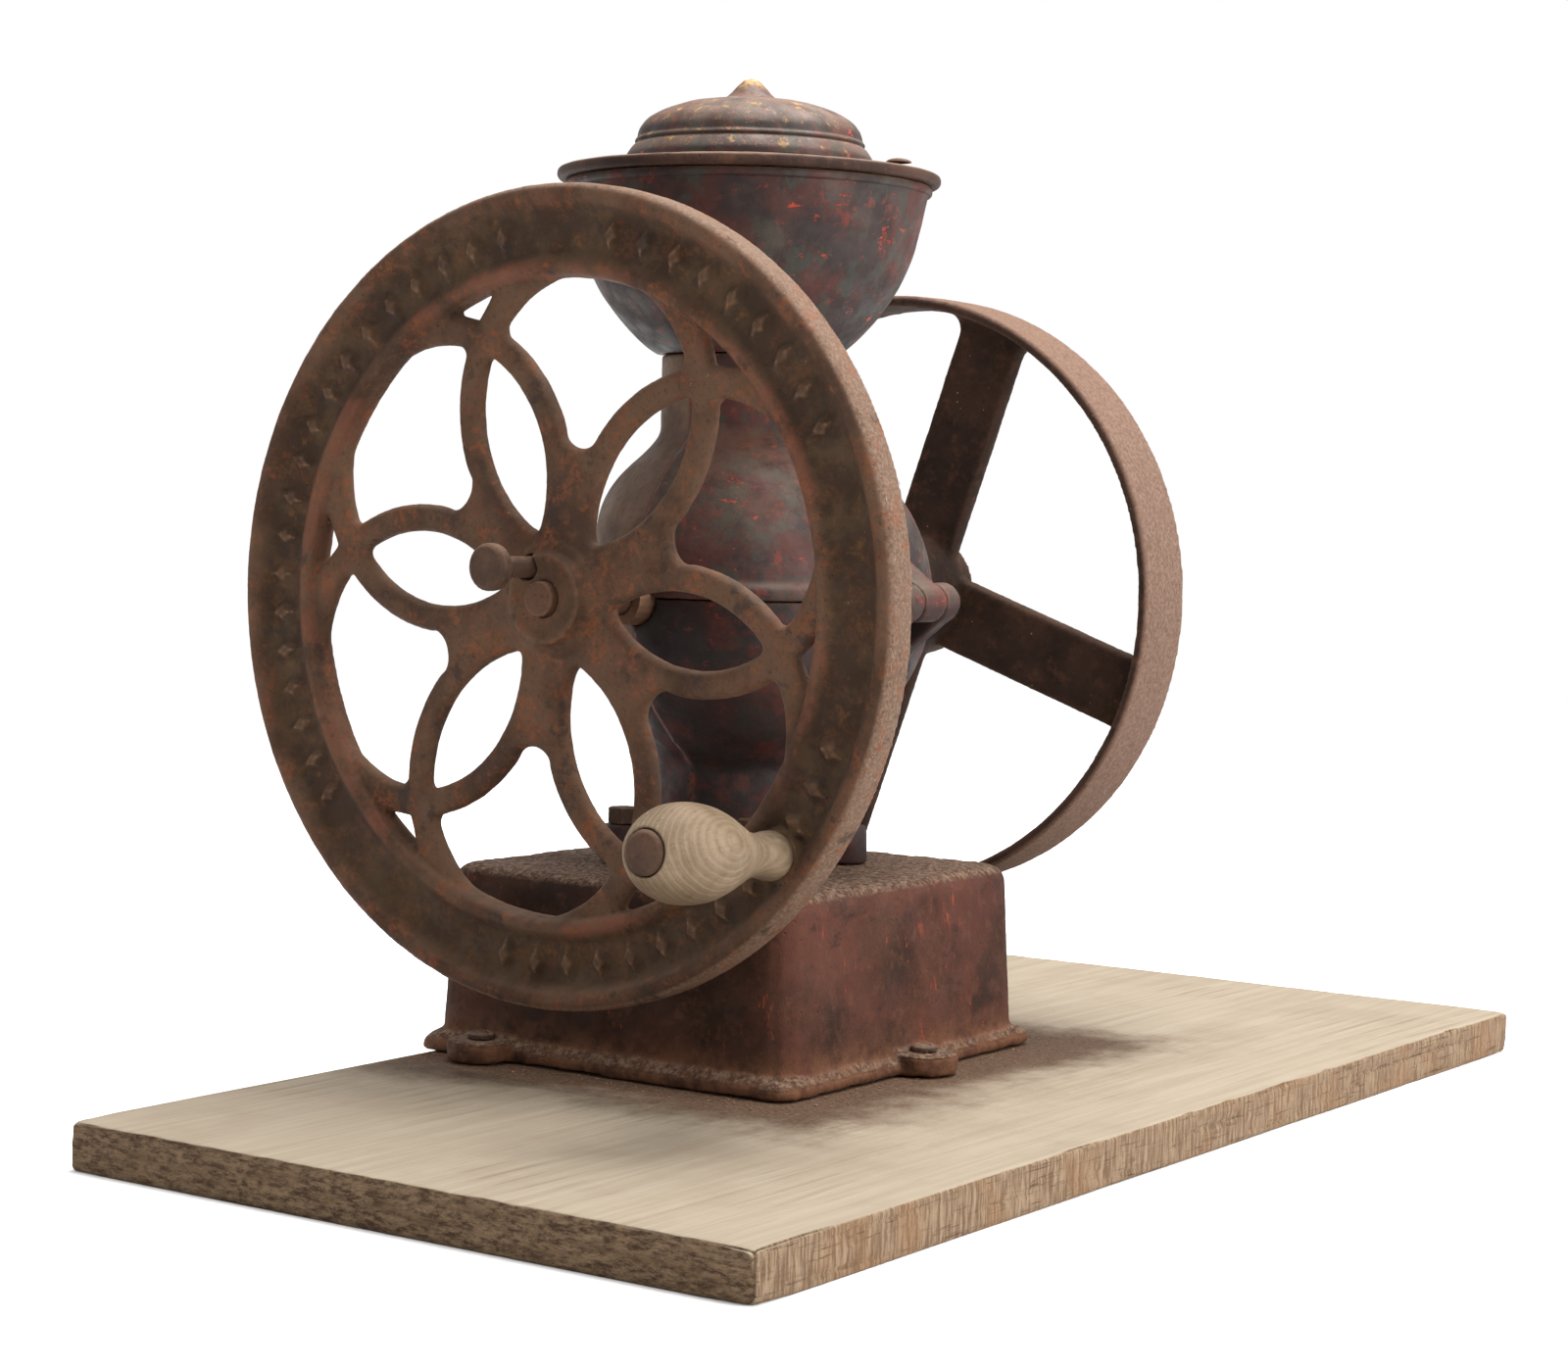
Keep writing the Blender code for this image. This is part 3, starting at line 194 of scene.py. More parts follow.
def uneven(obj, depth, size):
    if not depth:
        return
    texture = bpy.data.textures.new("uneven", "CLOUDS")
    texture.noise_scale, texture.noise_depth = size, 2
    push = obj.modifiers.new("uneven", "DISPLACE")
    push.texture, push.strength, push.texture_coords = texture, depth, "LOCAL"
    push.mid_level = 0.62


def piece(name, mesh, body, material, replaces=()):
    """Show a finished mesh as a named piece that rides on a body."""
    mesh.name = name
    mesh.polygons.foreach_set("use_smooth", [True] * len(mesh.polygons))
    mesh.materials.clear()
    mesh.materials.append(material)
    obj = bpy.data.objects.new(name, mesh)
    bpy.context.scene.collection.objects.link(obj)
    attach(obj, body)
    if replaces:
        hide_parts(*replaces)
    return obj


def node_copy(*names):
    """The CAD shapes of these nodes in one bmesh."""
    bm = bmesh.new()
    for name in names:
        bm.from_mesh(nodes[name].data)
    bmesh.ops.remove_doubles(bm, verts=bm.verts, dist=1e-6)
    return bm


def worn_copy(node, body, material, voxel=0.8 * MM, wear=3, lumps=0.2 * MM, grit=0.12 * MM):
    """A CAD node with its edges worn round and its surface corroded."""
    mesh = cast(node_copy(node), voxel, wear, lumps, 4 * MM, grit, 1.5 * MM)
    piece("worn_" + node, mesh, body, material, [node])


# ---------- material helpers ----------

LIT = 0.62          # the studio light brightens what it falls on, so a tone is given as it looks when lit


def tone(r, g, b):
    """Linear colour from the usual 0..255 values."""
    return tuple(LIT * ((c / 255 + 0.055) / 1.055) ** 2.4 for c in (r, g, b)) + (1,)


class Surface:
    """Builds one material's nodes. Places are in metres, in the piece's own frame."""

    def __init__(self, name, roughness=0.7, metallic=0.0, shine=0.12):
        self.material = bpy.data.materials.new(name)
        self.material.use_nodes = True
        self.tree = self.material.node_tree
        self.shader = self.tree.nodes["Principled BSDF"]
        self.shader.inputs["Roughness"].default_value = roughness
        self.shader.inputs["Metallic"].default_value = metallic
        self.shader.inputs["Specular IOR Level"].default_value = shine
        where = self.add("ShaderNodeTexCoord")
        self.place, self.normal = where.outputs["Object"], where.outputs["Normal"]
        self.x, self.y, self.z = self.split(self.place)
        self.nx, self.ny, self.nz = self.split(self.normal)
        self.bump_out = None

    def add(self, kind):
        return self.tree.nodes.new(kind)

    def put(self, socket, value):
        if isinstance(value, bpy.types.NodeSocket):
            self.tree.links.new(value, socket)
        else:
            socket.default_value = value

    def split(self, vector):
        node = self.add("ShaderNodeSeparateXYZ")
        self.put(node.inputs[0], vector)
        return node.outputs[0], node.outputs[1], node.outputs[2]

    def math(self, operation, a, b=0.0, clamp=False):
        node = self.add("ShaderNodeMath")
        node.operation, node.use_clamp = operation, clamp
        self.put(node.inputs[0], a)
        self.put(node.inputs[1], b)
        return node.outputs[0]

    def noise(self, size, detail=4.0, rough=0.6, stretch=(1, 1, 1), warp=0.0, shift=(0, 0, 0)):
        """Grey noise with features about size metres across."""
        mapping = self.add("ShaderNodeMapping")
        self.put(mapping.inputs["Vector"], self.place)
        mapping.inputs["Scale"].default_value = tuple(1 / (size * s) for s in stretch)
        mapping.inputs["Location"].default_value = shift
        node = self.add("ShaderNodeTexNoise")
        self.put(node.inputs["Vector"], mapping.outputs[0])
        node.inputs["Scale"].default_value = 1.0
        node.inputs["Detail"].default_value = detail
        node.inputs["Roughness"].default_value = rough
        node.inputs["Distortion"].default_value = warp
        return node.outputs["Fac"]

    def cells(self, size, stretch=(1, 1, 1)):
        """Distance to the nearest of many scattered points, 0 at the points."""
        mapping = self.add("ShaderNodeMapping")
        self.put(mapping.inputs["Vector"], self.place)
        mapping.inputs["Scale"].default_value = tuple(1 / (size * s) for s in stretch)
        node = self.add("ShaderNodeTexVoronoi")
        self.put(node.inputs["Vector"], mapping.outputs[0])
        node.inputs["Scale"].default_value = 1.0
        return node.outputs["Distance"]

    def step(self, value, low, high, top=1.0):
        """0 where value is below low, rising smoothly to top at high."""
        node = self.add("ShaderNodeMapRange")
        node.interpolation_type = "SMOOTHSTEP"
        self.put(node.inputs["Value"], value)
        node.inputs["From Min"].default_value = low
        node.inputs["From Max"].default_value = high
        node.inputs["To Min"].default_value = 0.0
        node.inputs["To Max"].default_value = top
        return node.outputs[0]

    def both(self, *masks):
        out = masks[0]
        for mask in masks[1:]:
            out = self.math("MULTIPLY", out, mask)
        return out

    def mix(self, mask, a, b):
        node = self.add("ShaderNodeMix")
        node.data_type = "RGBA"
        self.put(node.inputs["Factor"], mask)
        self.put(node.inputs[6], a)
        self.put(node.inputs[7], b)
        return node.outputs[2]

    def edges(self, low, high):
        """Mask on outward corners (low < high) or in hollows (low > high), by the surface's curvature."""
        point = self.add("ShaderNodeNewGeometry").outputs["Pointiness"]
        return self.step(point, low, high)

    def bump(self, height, depth, strength=1.0):
        node = self.add("ShaderNodeBump")
        node.inputs["Strength"].default_value = strength
        node.inputs["Distance"].default_value = depth
        self.put(node.inputs["Height"], height)
        if self.bump_out is not None:
            self.put(node.inputs["Normal"], self.bump_out)
        self.bump_out = node.outputs[0]

    def matt(self, size, least=0.6):
        """Roughness that wanders upwards from least."""
        return self.math("ADD", self.step(self.noise(size, 4), 0.2, 0.8, 0.35), least)

    def finish(self, colour, roughness=None):
        self.put(self.shader.inputs["Base Color"], colour)
        if roughness is not None:
            self.put(self.shader.inputs["Roughness"], roughness)
        if self.bump_out is not None:
            self.put(self.shader.inputs["Normal"], self.bump_out)
        return self.material


# ---------- colours ----------

BLACK_BROWN = tone(44, 31, 26)
RUST_BROWN = tone(108, 72, 54)
OCHRE = tone(186, 138, 66)
OLD_RED = tone(118, 48, 36)
BRIGHT_RED = tone(178, 62, 38)
DARK_GREEN = tone(58, 58, 50)
DUST = tone(164, 132, 108)
LINT = tone(214, 196, 174)
LINT_FRONT, LINT_BACK = -0.1745, -0.1575   # how far along the shaft the threads may reach


def rusted(s, base_a, base_b, grain=1.0):
    """Two rust tones in drifting patches with fine mottling."""
    colour = s.mix(s.step(s.noise(60 * MM, 5, 0.62), 0.38, 0.62), base_a, base_b)
    colour = s.mix(s.step(s.noise(9 * MM, 5, 0.65), 0.50, 0.72, 0.55), colour, RUST_BROWN)
    colour = s.mix(s.step(s.noise(2.2 * MM, 4, 0.7), 0.52, 0.75, 0.6 * grain), colour, BLACK_BROWN)
    return colour


def rough_skin(s, pits=0.5, grain=0.35):
    """Bumps of corroded iron: fine grain, larger unevenness and scattered pits."""
    s.bump(s.noise(1.3 * MM, 6, 0.75), grain * MM)
    s.bump(s.noise(7 * MM, 4, 0.6), 0.7 * MM, 0.7)
    pitting = s.both(s.step(s.cells(5 * MM), 0.22, 0.05), s.step(s.noise(30 * MM, 3), 0.5, 0.62))
    s.bump(s.math("MULTIPLY", pitting, -1.0), pits * MM)


def dusted(s, colour, low=0.25, high=0.95, top=0.85, dust=DUST):
    """Dust settled on surfaces that face up at rest."""
    patchy = s.step(s.noise(16 * MM, 5, 0.7), 0.25, 0.6)
    mask = s.both(s.step(s.nz, low, high, top), patchy)
    return s.mix(mask, colour, dust)


def wheel_iron():
    s = Surface("wheel_iron", 0.72)
    colour = rusted(s, tone(74, 53, 40), tone(102, 76, 58))
    reds = s.both(s.step(s.noise(34 * MM, 5, 0.7, shift=(3, 1, 2)), 0.50, 0.66),
                  s.step(s.noise(6 * MM, 5, 0.7), 0.42, 0.6))
    colour = s.mix(s.math("MULTIPLY", reds, 0.4), colour, tone(113, 62, 46))
    up = s.math("SUBTRACT", s.z, SHAFT_Z)
    radius = s.math("SQRT", s.math("ADD", s.math("MULTIPLY", s.x, s.x), s.math("MULTIPLY", up, up)))
    channel = s.both(s.step(radius, 0.173, 0.180), s.step(radius, 0.207, 0.201),
                     s.step(s.y, -0.163, -0.166))
    olive = s.mix(s.step(s.noise(26 * MM, 5, 0.65), 0.42, 0.62), tone(58, 43, 32), tone(81, 63, 46))
    olive = s.mix(s.step(s.noise(11 * MM, 5, 0.7, shift=(5, 5, 5)), 0.56, 0.72, 0.6),
                  olive, tone(118, 81, 42))
    colour = s.mix(s.math("MULTIPLY", channel, 0.85), colour, olive)
    outside = s.step(radius, 0.2125, 0.2148)
    speckle = s.mix(s.step(s.noise(1.8 * MM, 5, 0.75), 0.36, 0.68), tone(104, 79, 63), tone(139, 114, 97))
    colour = s.mix(outside, colour, speckle)
    inner = s.both(s.step(radius, 0.166, 0.169), s.step(radius, 0.179, 0.175),
                   s.step(s.noise(40 * MM, 4, 0.6, shift=(1, 7, 2)), 0.46, 0.6))
    colour = s.mix(s.math("MULTIPLY", inner, 0.45), colour, tone(127, 77, 60))
    worn = s.both(s.edges(0.515, 0.58), s.step(s.noise(5 * MM, 5, 0.7, shift=(6, 1, 1)), 0.30, 0.5))
    colour = s.mix(worn, colour, tone(150, 112, 88))
    colour = s.mix(s.edges(0.49, 0.44), colour, tone(53, 37, 26))
    specks = s.both(s.step(s.noise(10 * MM, 5, 0.7, shift=(9, 2, 4)), 0.68, 0.74),
                    s.step(s.noise(70 * MM, 2, shift=(2, 2, 8)), 0.52, 0.6))
    colour = s.mix(specks, colour, tone(183, 151, 97))
    orange = s.both(s.step(s.noise(16 * MM, 6, 0.72, shift=(4, 7, 1)), 0.50, 0.62),
                    s.step(s.noise(3 * MM, 5, 0.7, shift=(1, 1, 6)), 0.42, 0.56))
    smooth_part = s.math("SUBTRACT", 0.6, s.math("MULTIPLY", channel, 0.4))
    colour = s.mix(s.math("MULTIPLY", orange, smooth_part), colour, tone(136, 78, 48))
    slate = s.step(s.noise(22 * MM, 6, 0.7, shift=(2, 9, 7)), 0.56, 0.66, 0.7)
    colour = s.mix(slate, colour, tone(56, 46, 42))
    colour = dusted(s, colour, 0.3, 1.0, 0.4, tone(132, 106, 86))
    rough_skin(s, 0.4, 0.3)
    return s.finish(colour, s.matt(20 * MM))


def pulley_iron():
    s = Surface("pulley_iron", 0.85)
    colour = rusted(s, tone(53, 39, 32), tone(77, 55, 44))
    up = s.math("SUBTRACT", s.z, SHAFT_Z)
    radius = s.math("SQRT", s.math("ADD", s.math("MULTIPLY", s.x, s.x), s.math("MULTIPLY", up, up)))
    outside = s.step(radius, 0.1765, 0.179)
    face = s.mix(s.step(s.noise(2.4 * MM, 5, 0.75), 0.36, 0.66), tone(112, 85, 70), tone(138, 112, 98))
    colour = s.mix(outside, colour, face)
    colour = s.mix(s.edges(0.51, 0.58), colour, tone(121, 92, 77))
    dots = s.step(s.cells(7 * MM), 0.10, 0.04)
    dots = s.both(dots, s.step(s.noise(60 * MM, 3), 0.5, 0.6))
    colour = s.mix(dots, colour, tone(167, 145, 125))
    colour = dusted(s, colour, 0.4, 1.0, 0.4, tone(129, 99, 79))
    rough_skin(s, 0.6, 0.5)
    return s.finish(colour)


def painted_iron(name, patch_shift, dust_top=0.6):
    """Dark casting with worn red paint, black-green patches, scratches and orange flakes."""
    s = Surface(name, 0.5, shine=0.25)
    colour = s.mix(s.step(s.noise(50 * MM, 5, 0.62, shift=patch_shift), 0.42, 0.58),
                   tone(47, 34, 31), tone(79, 41, 34))
    colour = s.mix(s.step(s.noise(24 * MM, 6, 0.68, shift=(4, 4, 1)), 0.50, 0.60, 0.8), colour, DARK_GREEN)
    colour = s.mix(s.step(s.noise(12 * MM, 6, 0.7, shift=(2, 8, 3)), 0.56, 0.66, 0.75), colour, OLD_RED)
    flakes = s.both(s.step(s.noise(7 * MM, 6, 0.72, shift=(7, 3, 5), stretch=(1.6, 1.6, 0.7)), 0.60, 0.64),
                    s.step(s.noise(55 * MM, 3, shift=(1, 3, 9)), 0.50, 0.60))
    colour = s.mix(flakes, colour, BRIGHT_RED)
    scratches = s.step(s.noise(1.4 * MM, 4, 0.7, stretch=(5, 5, 0.8), shift=(1, 1, 4)), 0.64, 0.72, 0.5)
    colour = s.mix(scratches, colour, RUST_BROWN)
    haze = s.step(s.noise(38 * MM, 5, 0.65, shift=(6, 6, 6)), 0.48, 0.78, 0.35)
    colour = s.mix(haze, colour, tone(115, 92, 81))
    colour = s.mix(s.edges(0.52, 0.60), colour, tone(135, 101, 83))
    colour = dusted(s, colour, 0.15, 0.9, dust_top, tone(142, 113, 92))
    s.bump(s.noise(1.5 * MM, 5, 0.7), 0.18 * MM)
    s.bump(s.noise(9 * MM, 4, 0.6), 0.6 * MM, 0.6)
    s.bump(flakes, 0.15 * MM)
    return s, colour


def hopper_paint():
    s, colour = painted_iron("hopper_paint", (3, 5, 2))
    return s.finish(colour, s.matt(15 * MM, 0.45))


def lid_paint():
    s, colour = painted_iron("lid_paint", (8, 2, 5), 0.5)
    ochre = s.both(s.step(s.noise(7 * MM, 6, 0.72, shift=(3, 9, 1)), 0.56, 0.66), s.step(s.nz, 0.1, 0.6))
    colour = s.mix(s.math("MULTIPLY", ochre, 0.7), colour, OCHRE)
    knob = s.step(s.z, BOARD_TOP + 0.539, BOARD_TOP + 0.547)
    colour = s.mix(s.both(knob, s.step(s.noise(3 * MM, 4), 0.4, 0.6)), colour, tone(206, 158, 92))
    return s.finish(colour, s.matt(15 * MM, 0.42))


def body_paint():
    """The round left half is bare and dusty, the squared right half dark; below the seam the casting is
    darker still with red patches, partly its own colour and partly painted shade under the drum.
    """
    s, colour = painted_iron("body_paint", (1, 6, 4), 0.3)
    # below the seam the colour turns dark with red patches: partly the casting's own darker colour, partly
    # painted shade under the drum's overhang
    low = s.step(s.z, SHAFT_Z + 0.002, SHAFT_Z - 0.004)
    dark = s.mix(s.step(s.noise(26 * MM, 6, 0.66, shift=(8, 1, 1)), 0.5, 0.62),
                 tone(33, 23, 21), tone(79, 31, 23))
    colour = s.mix(s.math("MULTIPLY", low, 0.7), colour, dark)
    bare = s.both(s.step(s.x, -0.001, -0.006), s.step(s.z, SHAFT_Z - 0.05, SHAFT_Z - 0.02))
    brown = s.mix(s.step(s.noise(30 * MM, 5, 0.6), 0.35, 0.65), tone(101, 77, 61), tone(132, 105, 84))
    brown = s.mix(s.step(s.noise(4 * MM, 5, 0.7), 0.52, 0.7, 0.5), brown, tone(79, 57, 43))
    colour = s.mix(s.math("MULTIPLY", bare, 0.9), colour, brown)
    crease = s.both(s.step(s.x, -0.006, -0.001), s.step(s.x, 0.004, 0.0),
                    s.step(s.noise(9 * MM, 4), 0.4, 0.55))
    colour = s.mix(s.math("MULTIPLY", crease, 0.8), colour, tone(126, 60, 38))
    return s.finish(colour, s.matt(18 * MM, 0.5))


def base_iron():
    s = Surface("base_iron", 0.62)
    colour = rusted(s, tone(58, 38, 29), tone(83, 54, 41))
    # painted light: the right-facing side turns lighter and redder in patches, as if lit by the right-side
    # lamp, laid on in a red rust tone
    right_face_light_and_rust = s.both(s.step(s.nx, 0.3, 0.8), s.step(s.noise(45 * MM, 5, 0.65, shift=(0, 3, 6)), 0.35, 0.6))
    colour = s.mix(s.math("MULTIPLY", right_face_light_and_rust, 0.45), colour, tone(110, 63, 52))
    scrapes = s.both(s.step(s.noise(5 * MM, 5, 0.7, stretch=(1, 1, 3.2), shift=(3, 3, 0)), 0.60, 0.66),
                     s.step(s.noise(60 * MM, 3, shift=(5, 0, 2)), 0.48, 0.6))
    colour = s.mix(s.math("MULTIPLY", scrapes, 0.8), colour, tone(149, 70, 50))
    dark = s.step(s.noise(22 * MM, 6, 0.7, shift=(9, 9, 0), stretch=(1, 1, 0.6)), 0.54, 0.68, 0.7)
    colour = s.mix(dark, colour, tone(47, 36, 32))
    low = s.step(s.z, BOARD_TOP + 0.030, BOARD_TOP + 0.006)
    colour = s.mix(s.both(low, s.step(s.noise(12 * MM, 5, 0.7), 0.3, 0.62)), colour, tone(122, 83, 59))
    colour = s.mix(s.edges(0.53, 0.62), colour, tone(135, 94, 74))
    top = s.step(s.nz, 0.35, 0.85)
    crumbs = s.mix(s.step(s.noise(3.5 * MM, 6, 0.8), 0.42, 0.62), tone(86, 61, 47), tone(158, 130, 108))
    colour = s.mix(s.math("MULTIPLY", top, 0.92), colour, crumbs)
    rough_skin(s, 0.5, 0.5)
    s.bump(s.both(top, s.noise(4 * MM, 6, 0.8)), 2.0 * MM)
    return s.finish(colour, s.matt(25 * MM))


def plain_rust(name, a, b, roughness=0.7, metallic=0.0, dust=0.5):
    s = Surface(name, roughness, metallic)
    colour = rusted(s, a, b)
    colour = s.mix(s.edges(0.51, 0.60), colour, tone(146, 110, 88))
    colour = dusted(s, colour, 0.3, 1.0, dust)
    rough_skin(s, 0.4, 0.35)
    return s.finish(colour)


def board_wood():
    s = Surface("board_wood", 0.8)
    # Top: long grain along Y, bleached grey-beige, darker stains
    grain = s.noise(5 * MM, 6, 0.62, stretch=(1, 34, 1), warp=0.6)
    fibre = s.noise(0.9 * MM, 3, 0.7, stretch=(1, 30, 1))
    top = s.mix(s.step(grain, 0.30, 0.70), tone(158, 143, 123), tone(171, 158, 138))
    top = s.mix(s.step(fibre, 0.52, 0.80, 0.22), top, tone(124, 106, 86))
    stain = s.step(s.noise(80 * MM, 5, 0.65, shift=(1, 2, 3)), 0.44, 0.7, 0.4)
    top = s.mix(stain, top, tone(146, 129, 110))
    # Rings of the plank show as long nested curves
    rings = s.add("ShaderNodeTexWave")
    rings.wave_type, rings.bands_direction = "BANDS", "X"
    bend = s.add("ShaderNodeMapping")
    s.put(bend.inputs["Vector"], s.place)
    bend.inputs["Scale"].default_value = (1, 0.16, 1)
    bend.inputs["Rotation"].default_value = (0, 0, radians(3))
    s.put(rings.inputs["Vector"], bend.outputs[0])
    rings.inputs["Scale"].default_value = 24
    rings.inputs["Distortion"].default_value = 5
    rings.inputs["Detail"].default_value = 3
    rings.inputs["Detail Scale"].default_value = 0.6
    line = s.both(s.step(rings.outputs["Fac"], 0.80, 0.98),
                  s.step(s.noise(140 * MM, 2, shift=(4, 0, 0)), 0.50, 0.66))
    top = s.mix(s.math("MULTIPLY", line, 0.32), top, tone(120, 96, 75))
    # Ends: dark brown open grain
    end_noise = s.noise(3 * MM, 6, 0.75, stretch=(2.2, 1, 0.7))
    end = s.mix(s.step(end_noise, 0.36, 0.64), tone(70, 50, 36), tone(136, 112, 86))
    end = s.mix(s.step(s.noise(14 * MM, 4, 0.6, stretch=(3, 1, 0.6)), 0.5, 0.7, 0.6), end, tone(104, 80, 58))
    # Sides: saw marks across, splits along the grain
    saw = s.noise(2.2 * MM, 5, 0.7, stretch=(1, 1, 9))
    split = s.noise(1.6 * MM, 4, 0.7, stretch=(1, 22, 1), shift=(2, 0, 5))
    side = s.mix(s.step(saw, 0.38, 0.64), tone(114, 89, 67), tone(162, 138, 112))
    side = s.mix(s.step(split, 0.56, 0.68, 0.8), side, tone(72, 52, 36))
    side = s.mix(s.step(s.noise(40 * MM, 4), 0.45, 0.65, 0.4), side, tone(143, 103, 69))
    colour = s.mix(s.step(s.math("ABSOLUTE", s.ny), 0.5, 0.8), top, end)
    colour = s.mix(s.step(s.math("ABSOLUTE", s.nx), 0.5, 0.8), colour, side)
    # Rust dust that fell round the base
    away_x = s.math("SUBTRACT", s.math("ABSOLUTE", s.x), 126.6 * MM)
    away_y = s.math("SUBTRACT", s.math("ABSOLUTE", s.y), 128 * MM)
    away = s.math("MAXIMUM", away_x, away_y)
    blown = s.math("ADD", away, s.math("MULTIPLY", s.math("SUBTRACT", s.noise(55 * MM, 5, 0.7), 0.5), 0.10))
    powder = s.both(s.step(blown, 0.085, 0.025), s.step(s.nz, 0.4, 0.8),
                    s.math("ADD", s.step(s.noise(2.5 * MM, 5, 0.8), 0.36, 0.58, 0.25), 0.75))
    colour = s.mix(powder, colour, s.mix(s.noise(6 * MM, 4, 0.7), tone(58, 38, 27), tone(110, 80, 58)))
    far_powder = s.both(s.step(blown, 0.20, 0.03),
                        s.step(s.noise(2 * MM, 4, 0.8, shift=(0, 5, 0)), 0.55, 0.72))
    colour = s.mix(s.math("MULTIPLY", far_powder, 0.4), colour, tone(112, 82, 60))
    s.bump(s.both(fibre, s.step(s.nz, 0.3, 0.8)), 0.25 * MM)
    s.bump(s.math("MULTIPLY", line, -1.0), 0.3 * MM)
    s.bump(s.both(end_noise, s.step(s.math("ABSOLUTE", s.ny), 0.3, 0.8)), 1.6 * MM)
    s.bump(s.both(s.math("SUBTRACT", saw, split), s.step(s.math("ABSOLUTE", s.nx), 0.3, 0.8)), 1.0 * MM)
    s.bump(s.both(powder, s.noise(2 * MM, 5, 0.8)), 0.8 * MM)
    return s.finish(colour)


def grip_wood():
    """Grey, weathered turned wood; the growth rings cut the pear shape in ovals."""
    s = Surface("grip_wood", 0.62)
    lo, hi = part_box("handle_grip")
    middle = (lo + hi) / 2
    place = s.add("ShaderNodeMapping")
    s.put(place.inputs["Vector"], s.place)
    place.inputs["Location"].default_value = (-(hi.x + 0.003), -(middle.y - 0.006), -(middle.z + 0.012))
    rings = s.add("ShaderNodeTexWave")
    rings.wave_type, rings.rings_direction = "RINGS", "SPHERICAL"
    squeeze = s.add("ShaderNodeMapping")
    s.put(squeeze.inputs["Vector"], place.outputs[0])
    squeeze.inputs["Scale"].default_value = (1.6, 0.62, 1.0)
    s.put(rings.inputs["Vector"], squeeze.outputs[0])
    rings.inputs["Scale"].default_value = 80
    rings.inputs["Distortion"].default_value = 1.6
    rings.inputs["Detail"].default_value = 2
    rings.inputs["Detail Scale"].default_value = 1.2
    ring = s.step(rings.outputs["Fac"], 0.62, 0.98)
    colour = s.mix(s.step(s.noise(22 * MM, 4), 0.3, 0.7), tone(126, 106, 84), tone(150, 129, 106))
    colour = s.mix(s.math("MULTIPLY", ring, 0.22), colour, tone(160, 141, 119))
    thin = s.step(rings.outputs["Fac"], 0.30, 0.05, 0.24)
    colour = s.mix(thin, colour, tone(99, 79, 59))
    colour = s.mix(s.step(s.noise(1.2 * MM, 4, 0.7, stretch=(1, 14, 1)), 0.52, 0.72, 0.4),
                   colour, tone(94, 74, 54))
    grime = s.step(s.noise(9 * MM, 5, 0.7, shift=(2, 1, 7)), 0.54, 0.75, 0.5)
    colour = s.mix(grime, colour, tone(91, 71, 50))
    # painted shade: the grip's downward-facing surfaces are darker
    colour = s.mix(s.step(s.nz, -0.35, -0.95, 0.55), colour, tone(82, 64, 45))
    colour = s.mix(s.both(s.step(s.noise(3 * MM, 4, 0.7), 0.66, 0.7), s.step(s.nz, 0.1, 0.5)), colour, LINT)
    s.bump(s.noise(1.2 * MM, 4, 0.7, stretch=(1, 14, 1)), 0.3 * MM)
    s.bump(ring, 0.15 * MM)
    return s.finish(colour)


def thread_fluff():
    s = Surface("thread_fluff", 0.9)
    colour = s.mix(s.noise(4 * MM, 3), LINT, tone(168, 146, 122))
    s.bump(s.noise(0.6 * MM, 3), 0.1 * MM)
    return s.finish(colour)


def floor_paper():
    s = Surface("floor_paper", 0.9)
    colour = s.mix(s.noise(0.4, 3), (0.90, 0.90, 0.90, 1), (0.94, 0.94, 0.94, 1))
    return s.finish(colour)


WHEEL_IRON = wheel_iron()
PULLEY_IRON = pulley_iron()
HOPPER_PAINT = hopper_paint()
LID_PAINT = lid_paint()
BODY_PAINT = body_paint()
BASE_IRON = base_iron()
RING_IRON = plain_rust("ring_iron", tone(55, 37, 30), tone(81, 56, 44), 0.6)
BOLT_RUST = plain_rust("bolt_rust", tone(65, 48, 39), tone(92, 69, 55))
HINGE_RUST = plain_rust("hinge_rust", tone(109, 83, 67), tone(137, 107, 86), 0.7)
SHAFT_RUST = plain_rust("shaft_rust", tone(74, 51, 39), tone(102, 72, 55), 0.55, 0.3)
DARK_RUST = plain_rust("dark_rust", tone(39, 28, 24), tone(62, 44, 35))
BURR_METAL = plain_rust("burr_metal", tone(120, 112, 104), tone(148, 136, 124), 0.45, 0.7, 0.2)
TIN_PLATE = plain_rust("tin_plate", tone(120, 104, 90), tone(140, 122, 104), 0.5, 0.5, 0.4)
BOARD_WOOD = board_wood()
GRIP_WOOD = grip_wood()
FLUFF = thread_fluff()


# ---------- board ----------

BOARD_ROUND = 2.2 * MM


def spread(low, high, middle_step, edge_step=1.4 * MM, edge=7 * MM):
    """Values from low to high, close together near both ends."""
    count = ceil(edge / edge_step)
    start = [low + edge * i / count for i in range(count)]
    inner = ceil((high - low - 2 * edge) / middle_step)
    middle = [low + edge + (high - low - 2 * edge) * i / inner for i in range(inner + 1)]
    return start + middle + [high - edge * i / count for i in range(count - 1, -1, -1)]


